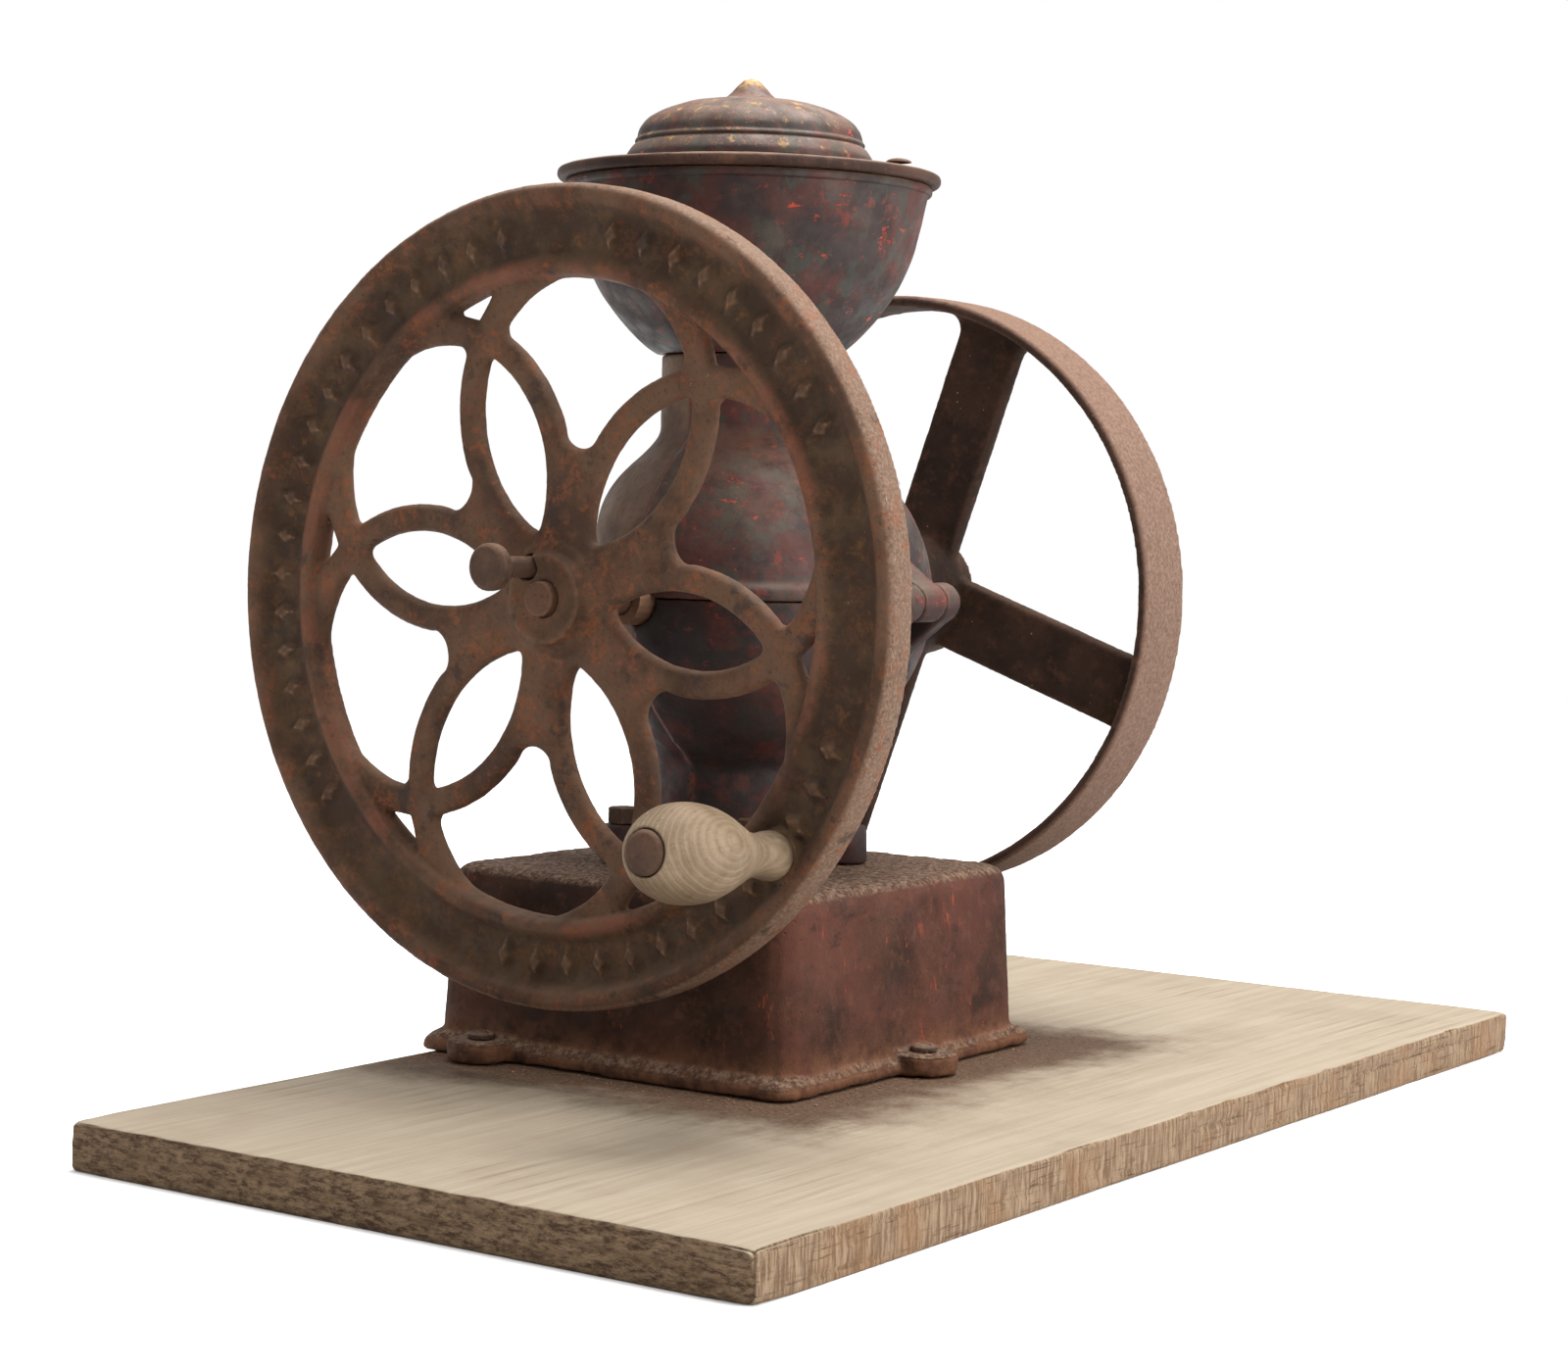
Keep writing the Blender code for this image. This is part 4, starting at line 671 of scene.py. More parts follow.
def board_point(p, lo, hi):
    """Rounded, chipped and weathered place of a point of the plain board; it only moves inwards."""
    long_wave = noise.noise(Vector((p.x * 9, p.y * 9, p.z * 30)))
    radius = BOARD_ROUND * (1.0 + 0.7 * long_wave)
    corners = ((hi.x, lo.y, 5 * MM), (hi.x, hi.y, 4 * MM), (lo.x, lo.y, 3 * MM), (lo.x, hi.y, 3 * MM))
    for cx, cy, size in corners:
        near = max(0.0, 1 - sqrt((p.x - cx) ** 2 + (p.y - cy) ** 2) / 0.03)
        radius += size * near * (0.7 + 0.5 * noise.noise(p * 160))
    inner = Vector(min(max(c, a + radius), b - radius) for c, a, b in zip(p, lo, hi))
    away = p - inner
    out = inner + away.normalized() * min(radius, away.length) if away.length > 1e-7 else p.copy()
    if p.x in (lo.x, hi.x):
        saw = noise.fractal(Vector((0, p.y * 330, p.z * 40)), 1.0, 2.0, 3)
        split = max(0.0, noise.noise(Vector((3, p.y * 14, p.z * 330))) - 0.22)
        bite = max(0.0, noise.noise(Vector((7, p.y * 30, p.z * 60))) - 0.35)
        out.x += (1 if p.x == lo.x else -1) * (0.35 * MM * (saw + 0.8) + 3.0 * MM * split + 3.5 * MM * bite)
    if p.y in (lo.y, hi.y):
        rough = noise.fractal(Vector((p.x * 200, 0, p.z * 420)), 1.0, 2.0, 3)
        out.y += (1 if p.y == lo.y else -1) * 0.45 * MM * (rough + 1.0)
    if p.z == hi.z:
        out.z -= 0.22 * MM * (1 + noise.noise(Vector((p.x * 70, p.y * 7, 0))))
    return out


def grid_box(xs, ys, zs, shape):
    """Closed box skinned with a grid on all six sides, each point moved by shape."""
    bm = bmesh.new()
    lo, hi = Vector((xs[0], ys[0], zs[0])), Vector((xs[-1], ys[-1], zs[-1]))
    made = {}

    def vert(i, j, k):
        if (i, j, k) not in made:
            made[i, j, k] = bm.verts.new(shape(Vector((xs[i], ys[j], zs[k])), lo, hi))
        return made[i, j, k]

    nx, ny, nz = len(xs) - 1, len(ys) - 1, len(zs) - 1
    for i in range(nx):
        for j in range(ny):
            for k in (0, nz):
                bm.faces.new((vert(i, j, k), vert(i + 1, j, k), vert(i + 1, j + 1, k), vert(i, j + 1, k)))
    for i in range(nx):
        for k in range(nz):
            for j in (0, ny):
                bm.faces.new((vert(i, j, k), vert(i + 1, j, k), vert(i + 1, j, k + 1), vert(i, j, k + 1)))
    for j in range(ny):
        for k in range(nz):
            for i in (0, nx):
                bm.faces.new((vert(i, j, k), vert(i, j + 1, k), vert(i, j + 1, k + 1), vert(i, j, k + 1)))
    bmesh.ops.recalc_face_normals(bm, faces=bm.faces)
    return bm


def add_board():
    lo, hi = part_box("board")
    bm = grid_box(spread(lo.x, hi.x, 6 * MM), spread(lo.y, hi.y, 2.6 * MM),
                  spread(lo.z, hi.z, 2 * MM, 1.2 * MM, 5 * MM), board_point)
    mesh = bpy.data.meshes.new("board")
    bm.to_mesh(mesh)
    bm.free()
    piece("worn_board", mesh, "base", BOARD_WOOD, ["board"])


# ---------- flywheel ----------

PETALS = 6
PETAL_TURN = radians(-9)
PETAL_IN = 36 * MM
PETAL_OUT = 136 * MM
PETAL_HALF_W = 19 * MM
RIB_W = 15 * MM
WEB_MID = 163.5 * MM
WEB_HALF_T = 5.5 * MM
RIM_HOLE_R = 168 * MM
HUB_R = 24.5 * MM
HUB_FRONT = 178 * MM
HUB_BACK = 146 * MM
MARK_R = 191 * MM
MARK_FOOT = 166 * MM


def petal_circle():
    """Centre (mid, drop) and radius of the arcs that bound a lens-shaped petal hole."""
    half = (PETAL_OUT - PETAL_IN) / 2
    radius = (half ** 2 + PETAL_HALF_W ** 2) / (2 * PETAL_HALF_W)
    return (PETAL_OUT + PETAL_IN) / 2, radius - PETAL_HALF_W, radius


def petal_hole():
    mid, drop, radius = petal_circle()
    half = (PETAL_OUT - PETAL_IN) / 2
    spread_angle = atan2(half, drop) * 0.94
    upper = arc(mid, -drop, radius, pi / 2 - spread_angle, pi / 2 + spread_angle, 26)
    upper.append((PETAL_IN + 1.5 * MM, 0))
    return upper + [(2 * mid - x, -y) for x, y in upper]


def gap_hole():
    """Large hole between two petals, symmetrical about local +X."""
    arc_c, arc_r, nose_x, nose_len = 102 * MM, 68.5 * MM, 88 * MM, 8 * MM
    mid, drop, radius = petal_circle()
    cx, cy = turned([(mid, -drop)], -pi / PETALS)[0]
    side_r = radius + RIB_W
    nose_y = cy + sqrt(side_r ** 2 - (nose_x - cx) ** 2)
    span = sqrt((arc_c - cx) ** 2 + cy ** 2)
    along = (span ** 2 + side_r ** 2 - arc_r ** 2) / (2 * span)
    across = sqrt(side_r ** 2 - along ** 2)
    ux, uy = (arc_c - cx) / span, -cy / span
    corner = (cx + along * ux + across * uy, cy + along * uy - across * ux)
    a_nose = atan2(nose_y - cy, nose_x - cx)
    a_corner = atan2(corner[1] - cy, corner[0] - cx)
    side = arc(cx, cy, side_r, a_nose, a_corner + radians(2), 12)
    a_out = atan2(corner[1], corner[0] - arc_c)
    rim = arc(arc_c, 0, arc_r, a_out + radians(3), -a_out - radians(3), 40)
    back = [(x, -y) for x, y in side[::-1]]
    nose = [(nose_x - nose_len * cos(radians(a)), -nose_y * sin(radians(a))) for a in range(75, -76, -15)]
    return side + rim + back + nose


def tip_hole():
    """Small triangle between a petal's tip and the rim."""
    outer = arc(0, 0, RIM_HOLE_R + 2 * MM, -radians(6.2), radians(6.2), 8)
    return outer + [(157.5 * MM, 1.6 * MM), (156 * MM, 0), (157.5 * MM, -1.6 * MM)]


def pierced_plate(outer_r, holes, half_t, edge):
    """Flat plate with well-rounded hole edges, from a filled 2D curve, centred on z = 0."""
    curve = bpy.data.curves.new("plate", "CURVE")
    curve.dimensions, curve.fill_mode = "2D", "BOTH"
    curve.extrude, curve.bevel_depth, curve.bevel_resolution = half_t - edge, edge, 3
    curve.offset = -edge
    for points in [circle(outer_r, 160)] + holes:
        spline = curve.splines.new("POLY")
        spline.points.add(len(points) - 1)
        for point, (x, y) in zip(spline.points, points):
            point.co = (x, y, 0, 1)
        spline.use_cyclic_u = True
    obj = bpy.data.objects.new("plate", curve)
    bpy.context.scene.collection.objects.link(obj)
    bm = bmesh.new()
    bm.from_mesh(baked(obj))
    bpy.data.curves.remove(curve)
    bmesh.ops.remove_doubles(bm, verts=bm.verts, dist=1e-6)
    bmesh.ops.recalc_face_normals(bm, faces=bm.faces)
    return bm


def wheel_web():
    holes = []
    for i in range(PETALS):
        a = PETAL_TURN + 2 * pi * i / PETALS
        holes += [turned(petal_hole(), a), turned(tip_hole(), a), turned(gap_hole(), a + pi / PETALS)]
    return shifted(pierced_plate(181 * MM, holes, WEB_HALF_T, 5 * MM), 0, 0, WEB_MID)


def wheel_rim():
    """Deep channel between a heavy outer bead and a lighter inner one."""
    points = [(168.2, 157.2), (181, 157.2), (187, 159), (203, 159), (208, 156.3), (214.5, 156.7),
              (215.9, 158.5), (215.9, 171), (214.3, 175), (210.5, 176.8), (206.5, 175.2),
              (202.6, 170.4), (197.5, 168.6), (189, 168.5), (181, 169.2),
              (177, 172.4), (173.6, 174.4), (169.8, 173.4), (168.2, 170)]
    return lathe(curved([(r * MM, z * MM) for r, z in points], 3, closed=True), 256, ring=True)


MARK_SHOULDER = 4.6 * MM
MARK_HEIGHT = 7 * MM


def raised_marks():
    """Plain lozenges standing up from the channel floor, in three evenly spaced runs."""
    marks = []
    for first, count in ((28, 9), (101, 19), (262, 13)):
        for i in range(count):
            angle = radians(first + 6.4 * i)
            shape = [(-8.5 * MM, 0), (0, -5 * MM), (8.5 * MM, 0), (0, 5 * MM)]
            outline = turned([(MARK_R + x, y) for x, y in shape], angle)
            inner = turned([(MARK_R + 0.55 * x, 0.55 * y) for x, y in shape], angle)
            sections = ((outline, 0.0), (outline, MARK_SHOULDER), (inner, MARK_HEIGHT))
            marks.append(loft([[(x, y, MARK_FOOT + up) for x, y in ring] for ring, up in sections]))
    return marks


def handle_frame():
    """Where the handle stands on the rim: origin at its root, +Z along its bolt."""
    bolt_lo, bolt_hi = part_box("handle_bolt")
    lean = radians(5.4)
    x = (bolt_lo.x + bolt_hi.x) / 2
    nut_lo, nut_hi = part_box("handle_nut")
    nut = Vector((x, (nut_lo.y + nut_hi.y) / 2, (nut_lo.z + nut_hi.z) / 2))
    along = Vector((0, -cos(lean), sin(lean)))
    root = nut + along * 18 * MM
    return Matrix.Translation(root) @ Matrix.Rotation(radians(90) - lean, 4, "X")


def add_flywheel():
    hub = lathe(curved([(0.0, HUB_BACK), (HUB_R - 3 * MM, HUB_BACK), (HUB_R, HUB_BACK + 3 * MM),
                        (HUB_R + 1 * MM, HUB_FRONT - 12 * MM), (HUB_R, HUB_FRONT - 3 * MM),
                        (HUB_R - 2 * MM, HUB_FRONT), (HUB_R - 6 * MM, HUB_FRONT - 0.4 * MM),
                        (HUB_R - 9 * MM, HUB_FRONT - 1.6 * MM), (0.0, HUB_FRONT - 1.6 * MM)], 4), 64)
    skirt = lathe(curved([(0.0, WEB_MID - 5 * MM), (38 * MM, WEB_MID - 4.5 * MM), (40 * MM, WEB_MID),
                          (31 * MM, WEB_MID + 6 * MM), (26.5 * MM, WEB_MID + 9 * MM),
                          (0.0, WEB_MID + 10 * MM)], 4), 64)
    skirt = cut(skirt, *[prism(turned(petal_hole(), PETAL_TURN + 2 * pi * i / PETALS), 0.13, 0.18)
                         for i in range(PETALS)])
    boss = moved(lathe([(0, -14 * MM), (13.8 * MM, -14 * MM), (13.8 * MM, 1 * MM),
                        (12.8 * MM, 4.6 * MM), (0, 4.6 * MM)], 48),
                 ON_SHAFT.inverted() @ handle_frame())
    solid = joined(wheel_rim(), wheel_web(), hub, skirt, boss, *raised_marks())
    mesh = cast(solid, 1.5 * MM, 4, 0.5 * MM, 9 * MM, 0.25 * MM, 2 * MM)
    bm = bmesh.new()
    bm.from_mesh(mesh)
    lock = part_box("hub_lock_screw")
    lock_at = ((lock[0].x + lock[1].x) / 2, (lock[0].z + lock[1].z) / 2 - SHAFT_Z)
    notch = cylinder(7.2 * MM, HUB_FRONT - 7 * MM, HUB_FRONT + 5 * MM, 32, *lock_at)
    bore = cylinder(SHAFT_R + 0.5 * MM, HUB_BACK - 5 * MM, HUB_FRONT + 5 * MM, 48)
    mesh = bpy.data.meshes.new("flywheel")
    bm = moved(cut(bm, notch, bore), ON_SHAFT)
    bm.to_mesh(mesh)
    bm.free()
    piece("cast_flywheel", mesh, "rotor", WHEEL_IRON, ["flywheel"])


# ---------- belt pulley ----------

PULLEY_R = (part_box("belt_pulley")[1].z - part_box("belt_pulley")[0].z) / 2
PULLEY_HOLE_R = 172 * MM
PULLEY_NEAR, PULLEY_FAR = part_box("belt_pulley")[1].y - 46.5 * MM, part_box("belt_pulley")[1].y
SPOKE_MID = 180 * MM
PULLEY_TURN = radians(70.5)


def pulley_hole():
    """Quarter opening between two flat spokes that lie along local +X and +Y."""
    half_w, fillet, outer = 22 * MM, 12 * MM, 10 * MM
    inner_corner = arc(half_w + fillet, half_w + fillet, fillet, radians(180), radians(270), 14)
    cx = sqrt((PULLEY_HOLE_R - outer) ** 2 - (half_w + outer) ** 2)
    cy = half_w + outer
    tilt = atan2(cy, cx)
    corner = arc(cx, cy, outer, -pi / 2, tilt, 8)
    rim = arc(0, 0, PULLEY_HOLE_R + 2 * MM, tilt, pi / 2 - tilt, 36)[1:-1]
    return inner_corner + corner + rim + [(y, x) for x, y in corner[::-1]]


def add_pulley():
    mid = -(PULLEY_NEAR + PULLEY_FAR) / 2
    holes = [turned(pulley_hole(), PULLEY_TURN + i * pi / 2) for i in range(4)]
    web = shifted(pierced_plate(PULLEY_HOLE_R + 5 * MM, holes, 6 * MM, 3.5 * MM), 0, 0, -SPOKE_MID)
    profile = [(PULLEY_HOLE_R + 1 * MM, -PULLEY_FAR + 0.4 * MM),
               (PULLEY_R - 0.9 * MM, -PULLEY_FAR + 0.3 * MM),
               (PULLEY_R - 0.4 * MM, mid), (PULLEY_R - 0.9 * MM, -PULLEY_NEAR - 0.3 * MM),
               (PULLEY_HOLE_R + 1 * MM, -PULLEY_NEAR - 0.4 * MM), (PULLEY_HOLE_R, mid)]
    rim = lathe(profile, 256, ring=True)
    hub = lathe(curved([(0.0, -192.3 * MM), (35 * MM, -192.3 * MM), (37.8 * MM, -189 * MM),
                        (37.8 * MM, -150 * MM),
                        (35 * MM, -146.4 * MM), (0.0, -146.4 * MM)], 3), 64)
    bm = joined(rim, web, hub)
    mesh = cast(bm, 1.7 * MM, 4, 0.5 * MM, 10 * MM, 0.35 * MM, 2.4 * MM)
    mesh.transform(ON_SHAFT)
    piece("cast_pulley", mesh, "rotor", PULLEY_IRON, ["belt_pulley"])


# ---------- grinding body ----------

DRUM_R = 101 * MM
DRUM_RIGHT = 95 * MM
DRUM_SQUARE = 3.2
BULGE_STEP = 5 * MM
BODY_FILLET = 18 * MM
SHELL = 8 * MM
NECK_R = 47 * MM
NECK_BORE_R = 38 * MM
WAIST_R = 41 * MM
WAIST_BORE_R = 32 * MM
NECK_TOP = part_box("upper_body")[1].z
FOOT_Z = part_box("lower_body")[0].z


def smooth_step(t):
    t = min(max(t, 0.0), 1.0)
    return t * t * (3 - 2 * t)


def blend(a, b):
    """The larger of two lengths, rounded off where they are nearly equal."""
    return max(a, b) + max(1 - abs(a - b) / BODY_FILLET, 0.0) ** 2 * BODY_FILLET / 4


def body_sizes(z):
    """Right reach, depth, left reach, left depth and round radius of the body's outline at height z."""
    rise = z - SHAFT_Z
    depth = sqrt(max(DRUM_R ** 2 - rise ** 2, 0.0))
    right = DRUM_RIGHT * depth / DRUM_R
    if rise >= 0:
        round_r = NECK_R
        left = 62 * MM + 18 * MM * sin(pi * min(rise, 100 * MM) / (100 * MM))
        left *= sqrt(max(1 - (rise / (96 * MM)) ** 4, 0.0))
    else:
        round_r = WAIST_R + 3 * MM * smooth_step(-rise / (110 * MM) - 0.2) - 3 * MM * smooth_step(
            (-rise - 90 * MM) / (30 * MM))
        drop = smooth_step(-rise / (30 * MM))
        left = (62 * (1 - drop) + 46 * drop) * MM
    return (blend(right, round_r), blend(depth, round_r), blend(left, round_r),
            blend(depth - BULGE_STEP, round_r), round_r)


def body_outline(z, inset=0.0, bead=0.0, half_points=44):
    """Squared half towards +X, round half towards -X, with a step between them at x = 0."""
    right, depth, left, left_depth, round_r = body_sizes(z)
    right, depth = right + bead, depth + bead
    squareness = 2 + (DRUM_SQUARE - 2) * smooth_step((depth - round_r) / (30 * MM))
    points = []
    for i in range(half_points + 1):
        a = -pi / 2 + pi * i / half_points
        c, s = cos(a), sin(a)
        points.append(((right - inset) * abs(c) ** (2 / squareness),
                       (depth - inset) * (1 if s > 0 else -1) * abs(s) ** (2 / squareness), z))
    for i in range(half_points + 1):
        a = pi / 2 + pi * i / half_points
        points.append((min((left - inset) * cos(a), -0.05 * MM), (left_depth - inset) * sin(a), z))
    return points


def shell_rings(z_from, z_to, steps, inset=0.0):
    return [body_outline(z_from + (z_to - z_from) * i / steps, inset) for i in range(steps + 1)]


def shaft_bore(radius, half_length):
    return moved(cylinder(radius, -half_length, half_length, 40), ON_SHAFT)


def from_cad(node, low, high):
    """The part of a CAD node between two corners of a box, as its own closed body."""
    keep = block(low.x, high.x, low.y, high.y, low.z, high.z)
    base, tool = work_object(node_copy(node)), work_object(keep)
    step = base.modifiers.new("keep", "BOOLEAN")
    step.operation, step.solver, step.object = "INTERSECT", "EXACT", tool
    out = bmesh.new()
    out.from_mesh(baked(base, tool))
    return out


def hinge_part(node):
    """Hinge knuckles and webs of a CAD body, which stand out beyond its right side."""
    lo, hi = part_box(node)
    return from_cad(node, Vector((DRUM_RIGHT - 8 * MM, -30 * MM, lo.z)),
                    Vector((hi.x + MM, 30 * MM, hi.z + MM)))


def add_lower_body():
    outer = loft(shell_rings(FOOT_Z, SHAFT_Z, 56))
    room = loft(shell_rings(SHAFT_Z - 60 * MM, SHAFT_Z + MM, 16, SHELL))
    waist = cylinder(WAIST_BORE_R, FOOT_Z - MM, SHAFT_Z - 55 * MM)
    shell = cut(outer, room, waist, shaft_bore(15.3 * MM, 130 * MM))
    foot_profile = [(33, 0.0), (56.6, 0.0), (56.8, 9), (52, 12), (46, 14), (42, 19), (38, 21), (33, 20)]
    foot = lathe(curved([(x * MM, z * MM) for x, z in foot_profile], 4, closed=True), 96, ring=True)
    bolts = []
    for label in ("front_left", "front_right", "rear_left", "rear_right"):
        lo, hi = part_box("foot_bolt_" + label)
        boss = lathe([(0, 0), (13.4 * MM, 0), (13 * MM, 18 * MM), (12 * MM, 21.9 * MM), (0, 21.9 * MM)], 32)
        bolts.append(shifted(boss, (lo.x + hi.x) / 2, (lo.y + hi.y) / 2, FOOT_Z))
    solid = joined(shell, shifted(foot, 0, 0, FOOT_Z), hinge_part("lower_body"), *bolts)
    mesh = cast(solid, 1.6 * MM, 4, 0.5 * MM, 12 * MM, 0.2 * MM, 2 * MM)
    piece("cast_lower_body", flat_seam(mesh, SHAFT_Z, -1), "base", BODY_PAINT, ["lower_body"])


def flat_seam(mesh, level, side):
    """Keeps a casting's parting face flat: nothing stands past the level on that side."""
    for vertex in mesh.vertices:
        if side * (vertex.co.z - level) < 0.0 and abs(vertex.co.x) < DRUM_RIGHT + 4 * MM:
            vertex.co.z = level
    return mesh


def add_upper_body():
    seam = SHAFT_Z + 0.3 * MM
    lead = [body_outline(seam, bead=1.6 * MM), body_outline(seam + 1.5 * MM, bead=2.8 * MM),
            body_outline(seam + 6.5 * MM, bead=2.8 * MM), body_outline(seam + 8.5 * MM, bead=1.2 * MM)]
    outer = loft(lead + shell_rings(seam + 10 * MM, NECK_TOP, 64))
    room = loft(shell_rings(seam - MM, SHAFT_Z + 80 * MM, 24, SHELL))
    neck = cylinder(NECK_BORE_R, SHAFT_Z + 70 * MM, NECK_TOP + MM)
    shell = cut(outer, room, neck, shaft_bore(15.3 * MM, 130 * MM))
    mesh = cast(joined(shell, hinge_part("upper_body")), 1.6 * MM, 4, 0.5 * MM, 12 * MM, 0.2 * MM, 2 * MM)
    piece("cast_upper_body", flat_seam(mesh, seam, 1), "upper", BODY_PAINT, ["upper_body"])


def add_base():
    solid = node_copy("base_box")
    mesh = cast(solid, 1.8 * MM, 5, 0.6 * MM, 14 * MM, 0.35 * MM, 2.6 * MM)
    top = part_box("base_box")[1].z
    normals = [v.normal.copy() for v in mesh.vertices]
    for vertex, normal in zip(mesh.vertices, normals):
        low = 1 - smooth_step((vertex.co.z - BOARD_TOP - 4 * MM) / (16 * MM))
        lump = noise.fractal(vertex.co * 75, 1.0, 2.0, 3)
        vertex.co += normal * (0.9 * MM * low * lump)
        crust = smooth_step((vertex.co.z - top + 8 * MM) / (8 * MM))
        vertex.co.z += crust * 0.7 * MM * min(noise.fractal(vertex.co * 190, 1.0, 2.0, 3), 0.2)
        vertex.co.z = max(vertex.co.z, BOARD_TOP + 0.2 * MM)
    piece("cast_base", mesh, "base", BASE_IRON, ["base_box"])


# ---------- hopper, ring and lid, heights above the board ----------

def above_board(points):
    return [(r * MM, BOARD_TOP + z * MM) for r, z in points]


def turned_mesh(profile, steps, ring, lumps=0.35 * MM, grit=0.15 * MM):
    obj = work_object(lathe(profile, steps, ring))
    uneven(obj, lumps, 14 * MM)
    uneven(obj, grit, 2.2 * MM)
    return baked(obj)


def add_hopper():
    outside = curved([(50, 392.4), (57, 397), (66, 405.5), (75, 416), (83, 427.5), (88.5, 438), (93.5, 451),
                      (97.2, 466), (99.8, 478), (101, 483)], 8)
    bead = curved([(101, 483), (102.8, 483.8), (103.3, 485.8), (102.4, 487.9)], 5)
    inside = curved([(98, 487.9), (96.6, 478), (93.4, 466), (89.6, 453), (84.6, 440.5), (79, 430),
                     (71, 418.4), (62, 407.8), (50, 398.1)], 6)
    profile = above_board([(38, 392.4)] + outside + bead + inside + [(38, 398.1)])
    piece("turned_hopper", turned_mesh(profile, 192, True), "upper", HOPPER_PAINT, ["hopper"])


def add_ring():
    edge = curved([(97, 488.4), (105, 488.4), (107.4, 489.8), (107.8, 492), (107, 494.2), (104.5, 495)], 5)
    top = curved([(104.5, 495), (98, 495.7), (88, 497), (76, 498.5), (66.3, 498.9)], 5)
    under = curved([(66.3, 493.4), (80, 492.6), (96, 491.4)], 4)
    profile = above_board(edge + top[1:] + under)
    mesh = turned_mesh(profile, 192, True, 0.3 * MM)
    piece("turned_ring", mesh, "upper", RING_IRON, ["cover_ring"])
    for side in ("left", "right"):
        lo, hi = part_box("cover_screw_" + side)
        x, y = (lo.x + hi.x) / 2, (lo.y + hi.y) / 2
        dome = [(0, 0), (6.8, 0), (6.9, 0.8), (5.6, 1.7), (3.2, 2.3), (0, 2.5)]
        solid = lathe(curved([(r * MM, z * MM) for r, z in dome], 4), 32)
        mesh = cast(shifted(solid, x, y, hi.z - 2.6 * MM), 0.5 * MM, 2, 0.3 * MM, 4 * MM)
        piece("screw_lump_" + side, mesh, "upper", RING_IRON, ["cover_screw_" + side])


def add_lid():
    skirt = [(64, 494.2), (64, 499.4), (70, 499.4)]
    flare = curved([(70, 499.4), (69.3, 503), (66.4, 507.5), (64.2, 509.6)], 5)
    ridge = curved([(64.2, 509.6), (64.7, 511.2), (63.5, 513)], 4)
    dome = curved([(63.5, 513), (62.3, 517.6), (59.2, 522.1), (55.3, 525.1), (48.2, 528.8), (36.3, 532.7),
                   (25, 534.4), (16.1, 535.8), (12.2, 538.4), (8.3, 542.6), (4.4, 546.2), (0, 547.6)], 5)
    inside = curved([(0, 530.5), (30, 528.5), (46, 524), (55, 517.5), (59.5, 509), (60, 494.2)], 6)
    profile = above_board(inside + skirt + flare[1:] + ridge[1:] + dome[1:])
    piece("turned_lid", turned_mesh(profile, 160, False, 0.4 * MM), "lid", LID_PAINT, ["lid"])


# ---------- handle ----------

def add_handle():
    frame_at = handle_frame()
    shape = [(0, 12.0), (3, 12.6), (8, 12.2), (15, 11.2), (22, 11.4), (30, 13.2), (40, 17),
             (50, 20.6), (60, 23.4), (70, 24.6),
             (78, 24.6), (86, 23.6), (94, 21), (100, 17.6), (104, 14.6), (106, 12.6)]
    start, end = 5 * MM, 111 * MM
    outside = curved([(r * MM, start + t * MM) for t, r in shape], 5)
    recess = 11.8 * MM
    bore = 5.4 * MM
    inside = [(recess, end - 0.4 * MM), (recess - 0.3 * MM, end - 4 * MM),
              (bore, end - 4.2 * MM), (bore, start)]
    obj = work_object(lathe(outside + inside, 96, ring=True))
    uneven(obj, 0.3 * MM, 16 * MM)
    mesh = baked(obj)
    mesh.transform(frame_at)
    piece("turned_grip", mesh, "grip", GRIP_WOOD, ["handle_grip"])
    worn_copy("handle_bolt", "rotor", BOLT_RUST, 0.7 * MM, 4)
    worn_copy("handle_nut", "rotor", BOLT_RUST)


# ---------- loose dirt ----------

def add_crumbs():
    """Flakes of rust lying on the board round the base."""
    rng = random.Random(7)
    bm = bmesh.new()
    reach_x, reach_y = 0.128, 0.130
    for _ in range(420):
        side, along = rng.choice("xyy"), rng.uniform(-1.05, 1.05)
        off = abs(rng.gauss(0, 0.014)) + 0.001
        if side == "x":
            x, y = rng.choice((-1, 1, 1)) * (reach_x + off), along * reach_y
            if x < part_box("board")[0].x + 6 * MM:
                continue
        else:
            x, y = along * reach_x, rng.choice((-1, -1, 1)) * (reach_y + off)
        x = max(x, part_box("board")[0].x + 6 * MM)
        size = rng.uniform(0.25, 0.7) * (1.6 if rng.random() < 0.08 else 1.0) * MM
        flake = bmesh.ops.create_icosphere(bm, subdivisions=1, radius=size)["verts"]
        for vertex in flake:
            vertex.co *= rng.uniform(0.7, 1.2)
            vertex.co.z *= 0.6
            vertex.co += Vector((x, y, BOARD_TOP + 0.15 * MM))
    mesh = bpy.data.meshes.new("crumbs")
    bm.to_mesh(mesh)
    bm.free()
    piece("rust_crumbs", mesh, "base", HINGE_RUST)


def thread(rng, start, direction, length, radius):
    """One wandering hair, as a thin three-sided tube."""
    rings = []
    steps = 10
    place, heading = Vector(start), Vector(direction).normalized()
    for i in range(steps + 1):
        side = heading.orthogonal().normalized()
        other = heading.cross(side)
        thin = radius * (1 - 0.7 * i / steps)
        rings.append([place + side * thin * cos(a) + other * thin * sin(a) for a in (0, 2.1, 4.2)])
        heading = (heading + Vector(rng.gauss(0, 0.35) for _ in range(3))).normalized()
        place = place + heading * length / steps
    return loft(rings)


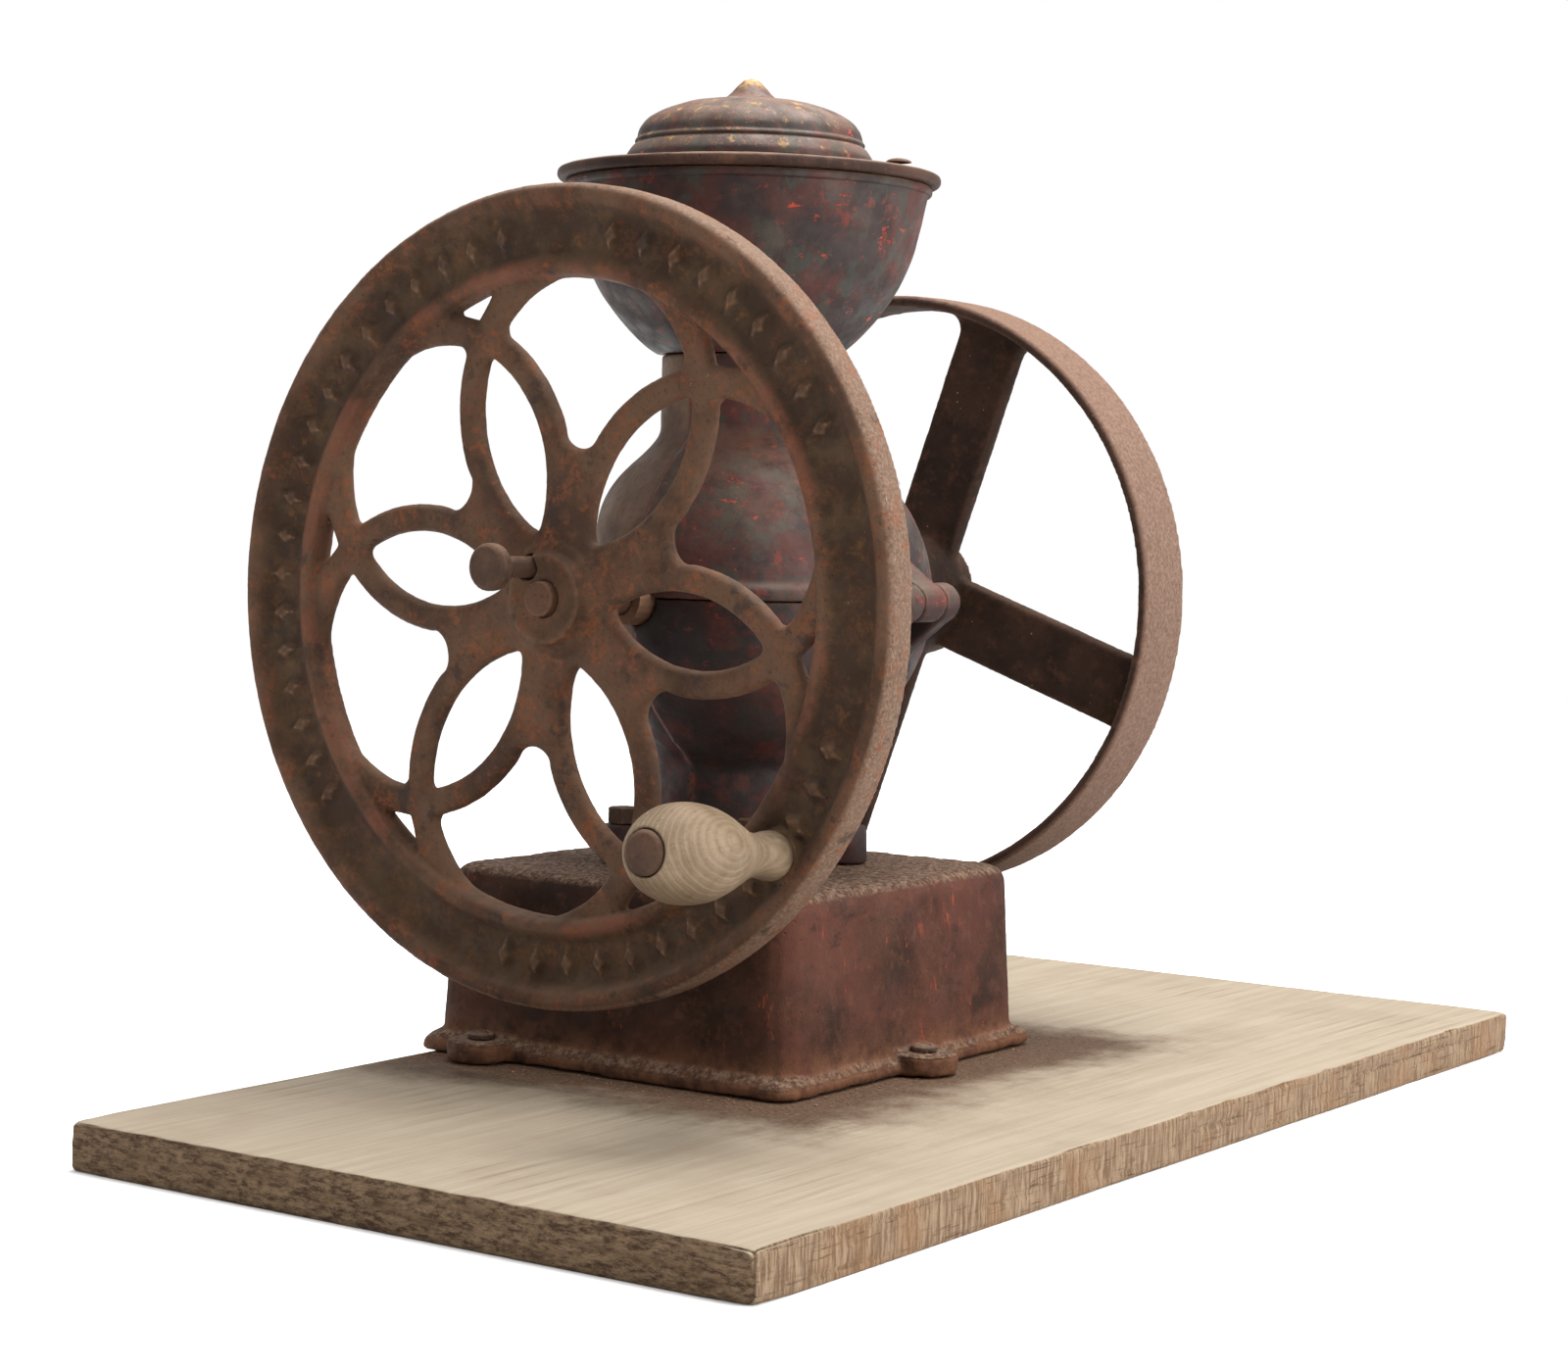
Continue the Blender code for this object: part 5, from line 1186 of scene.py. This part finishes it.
def add_lint():
    """Cobweb threads caught on the outside of the flywheel's rim, on the side away from the bulge."""
    rng = random.Random(11)
    hairs = []
    radius = (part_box("flywheel")[1].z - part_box("flywheel")[0].z) / 2 - 0.5 * MM
    for _ in range(70):
        angle = radians(rng.gauss(2, 24))
        y = rng.uniform(-173, -158) * MM
        x, z = radius * cos(angle), SHAFT_Z + radius * sin(angle)
        tangent = Vector((-sin(angle), rng.uniform(-1.2, 1.2), cos(angle))) * rng.choice((-1, 1))
        hair = thread(rng, (x, y, z), tangent, rng.uniform(6, 22) * MM, 0.13 * MM)
        for vertex in hair.verts:
            flat = Vector((vertex.co.x, 0, vertex.co.z - SHAFT_Z))
            limit = radius + rng.uniform(0.0, 0.4) * MM
            scale = min(max(flat.length, radius - 0.2 * MM), limit) / flat.length
            across = min(max(vertex.co.y, LINT_FRONT), LINT_BACK)
            vertex.co = Vector((flat.x * scale, across, SHAFT_Z + flat.z * scale))
        hairs.append(hair)
    mesh = bpy.data.meshes.new("lint")
    bm = joined(*hairs)
    bm.to_mesh(mesh)
    bm.free()
    piece("rim_cobwebs", mesh, "rotor", FLUFF)


# ---------- small iron and carried-over nodes ----------

def add_small_iron():
    for label in ("front_left", "front_right", "rear_left", "rear_right"):
        worn_copy("foot_bolt_" + label, "base", BOLT_RUST, 0.8 * MM, 3, 0.4 * MM, 0.2 * MM)
    for label in ("front", "right", "rear"):
        worn_copy("lug_screw_" + label, "base", DARK_RUST, 0.6 * MM, 3, 0.4 * MM, 0.2 * MM)
    worn_copy("hinge_pin", "base", HINGE_RUST, 0.6 * MM, 3)
    worn_copy("hub_lock_screw", "lock_screw", BOLT_RUST, 0.7 * MM, 4)
    worn_copy("shaft", "rotor", SHAFT_RUST, 0.9 * MM, 3)
    worn_copy("pulley_set_screw", "rotor", BOLT_RUST, 0.7 * MM, 2)
    worn_copy("drawer_front", "drawer", DARK_RUST, 1.2 * MM, 3)
    worn_copy("drawer_pull", "drawer", BOLT_RUST, 0.8 * MM, 3)


def dress_remaining():
    """Materials for the CAD nodes that stay as they are."""
    looks = {"drawer_tray": TIN_PLATE, "feed_case": DARK_RUST, "feed_screw": BURR_METAL,
             "flywheel_key": BOLT_RUST, "shaft_collar": SHAFT_RUST}
    shown = [n for n in nodes if n.startswith(("burr_", "bush_"))]
    looks.update({n: BURR_METAL for n in shown})
    looks.update({n: BOLT_RUST for n in nodes if n.startswith(("burr_screw", "hopper_screw"))})
    for name, material in looks.items():
        for slot in nodes[name].material_slots:
            slot.material = material


# ---------- camera, light, floor ----------

def add_camera():
    yaw, pitch, roll = radians(34.674), radians(3.2477), radians(1.2952)
    forward = Vector((-sin(yaw) * cos(pitch), cos(yaw) * cos(pitch), -sin(pitch)))
    level = Vector((cos(yaw), sin(yaw), 0))
    upright = level.cross(forward)
    right = level * cos(roll) + upright * sin(roll)
    up = upright * cos(roll) - level * sin(roll)
    data = bpy.data.cameras.new("camera")
    data.lens, data.sensor_width, data.clip_end = 71.62, 36.0, 50.0
    camera = bpy.data.objects.new("camera", data)
    axes = Matrix((right, up, -forward)).transposed().to_4x4()
    camera.matrix_world = Matrix.Translation((1.02771, -1.43993, 0.33237)) @ axes
    bpy.context.scene.collection.objects.link(camera)
    bpy.context.scene.camera = camera


def add_light(name, place, target, size, power, colour=(1, 1, 1)):
    data = bpy.data.lights.new(name, "AREA")
    data.shape, data.size, data.energy, data.color = "DISK", size, power, colour
    lamp = bpy.data.objects.new(name, data)
    lamp.location = place
    lamp.rotation_euler = (Vector(target) - Vector(place)).to_track_quat("-Z", "Y").to_euler()
    bpy.context.scene.collection.objects.link(lamp)


def add_studio():
    world = bpy.data.worlds.new("studio")
    world.use_nodes = True
    world.node_tree.nodes["Background"].inputs["Color"].default_value = (1, 1, 1, 1)
    world.node_tree.nodes["Background"].inputs["Strength"].default_value = 1.0
    bpy.context.scene.world = world
    bpy.context.scene.view_settings.view_transform = "Standard"
    middle = (0.05, 0.0, 0.3)
    add_light("overhead", (0.3, 0.3, 2.2), middle, 1.4, 100)
    add_light("right_side", (2.2, 0.3, 1.1), middle, 1.2, 46)
    bm = cylinder(4.0, -0.01, 0.0, 64)
    mesh = bpy.data.meshes.new("floor")
    bm.to_mesh(mesh)
    bm.free()
    mesh.materials.append(floor_paper())
    floor = bpy.data.objects.new("floor", mesh)
    bpy.context.scene.collection.objects.link(floor)


def main():
    add_camera()
    add_studio()
    add_board()
    add_base()
    add_lower_body()
    add_upper_body()
    add_hopper()
    add_ring()
    add_lid()
    add_flywheel()
    add_pulley()
    add_handle()
    add_small_iron()
    add_crumbs()
    add_lint()
    dress_remaining()


main()
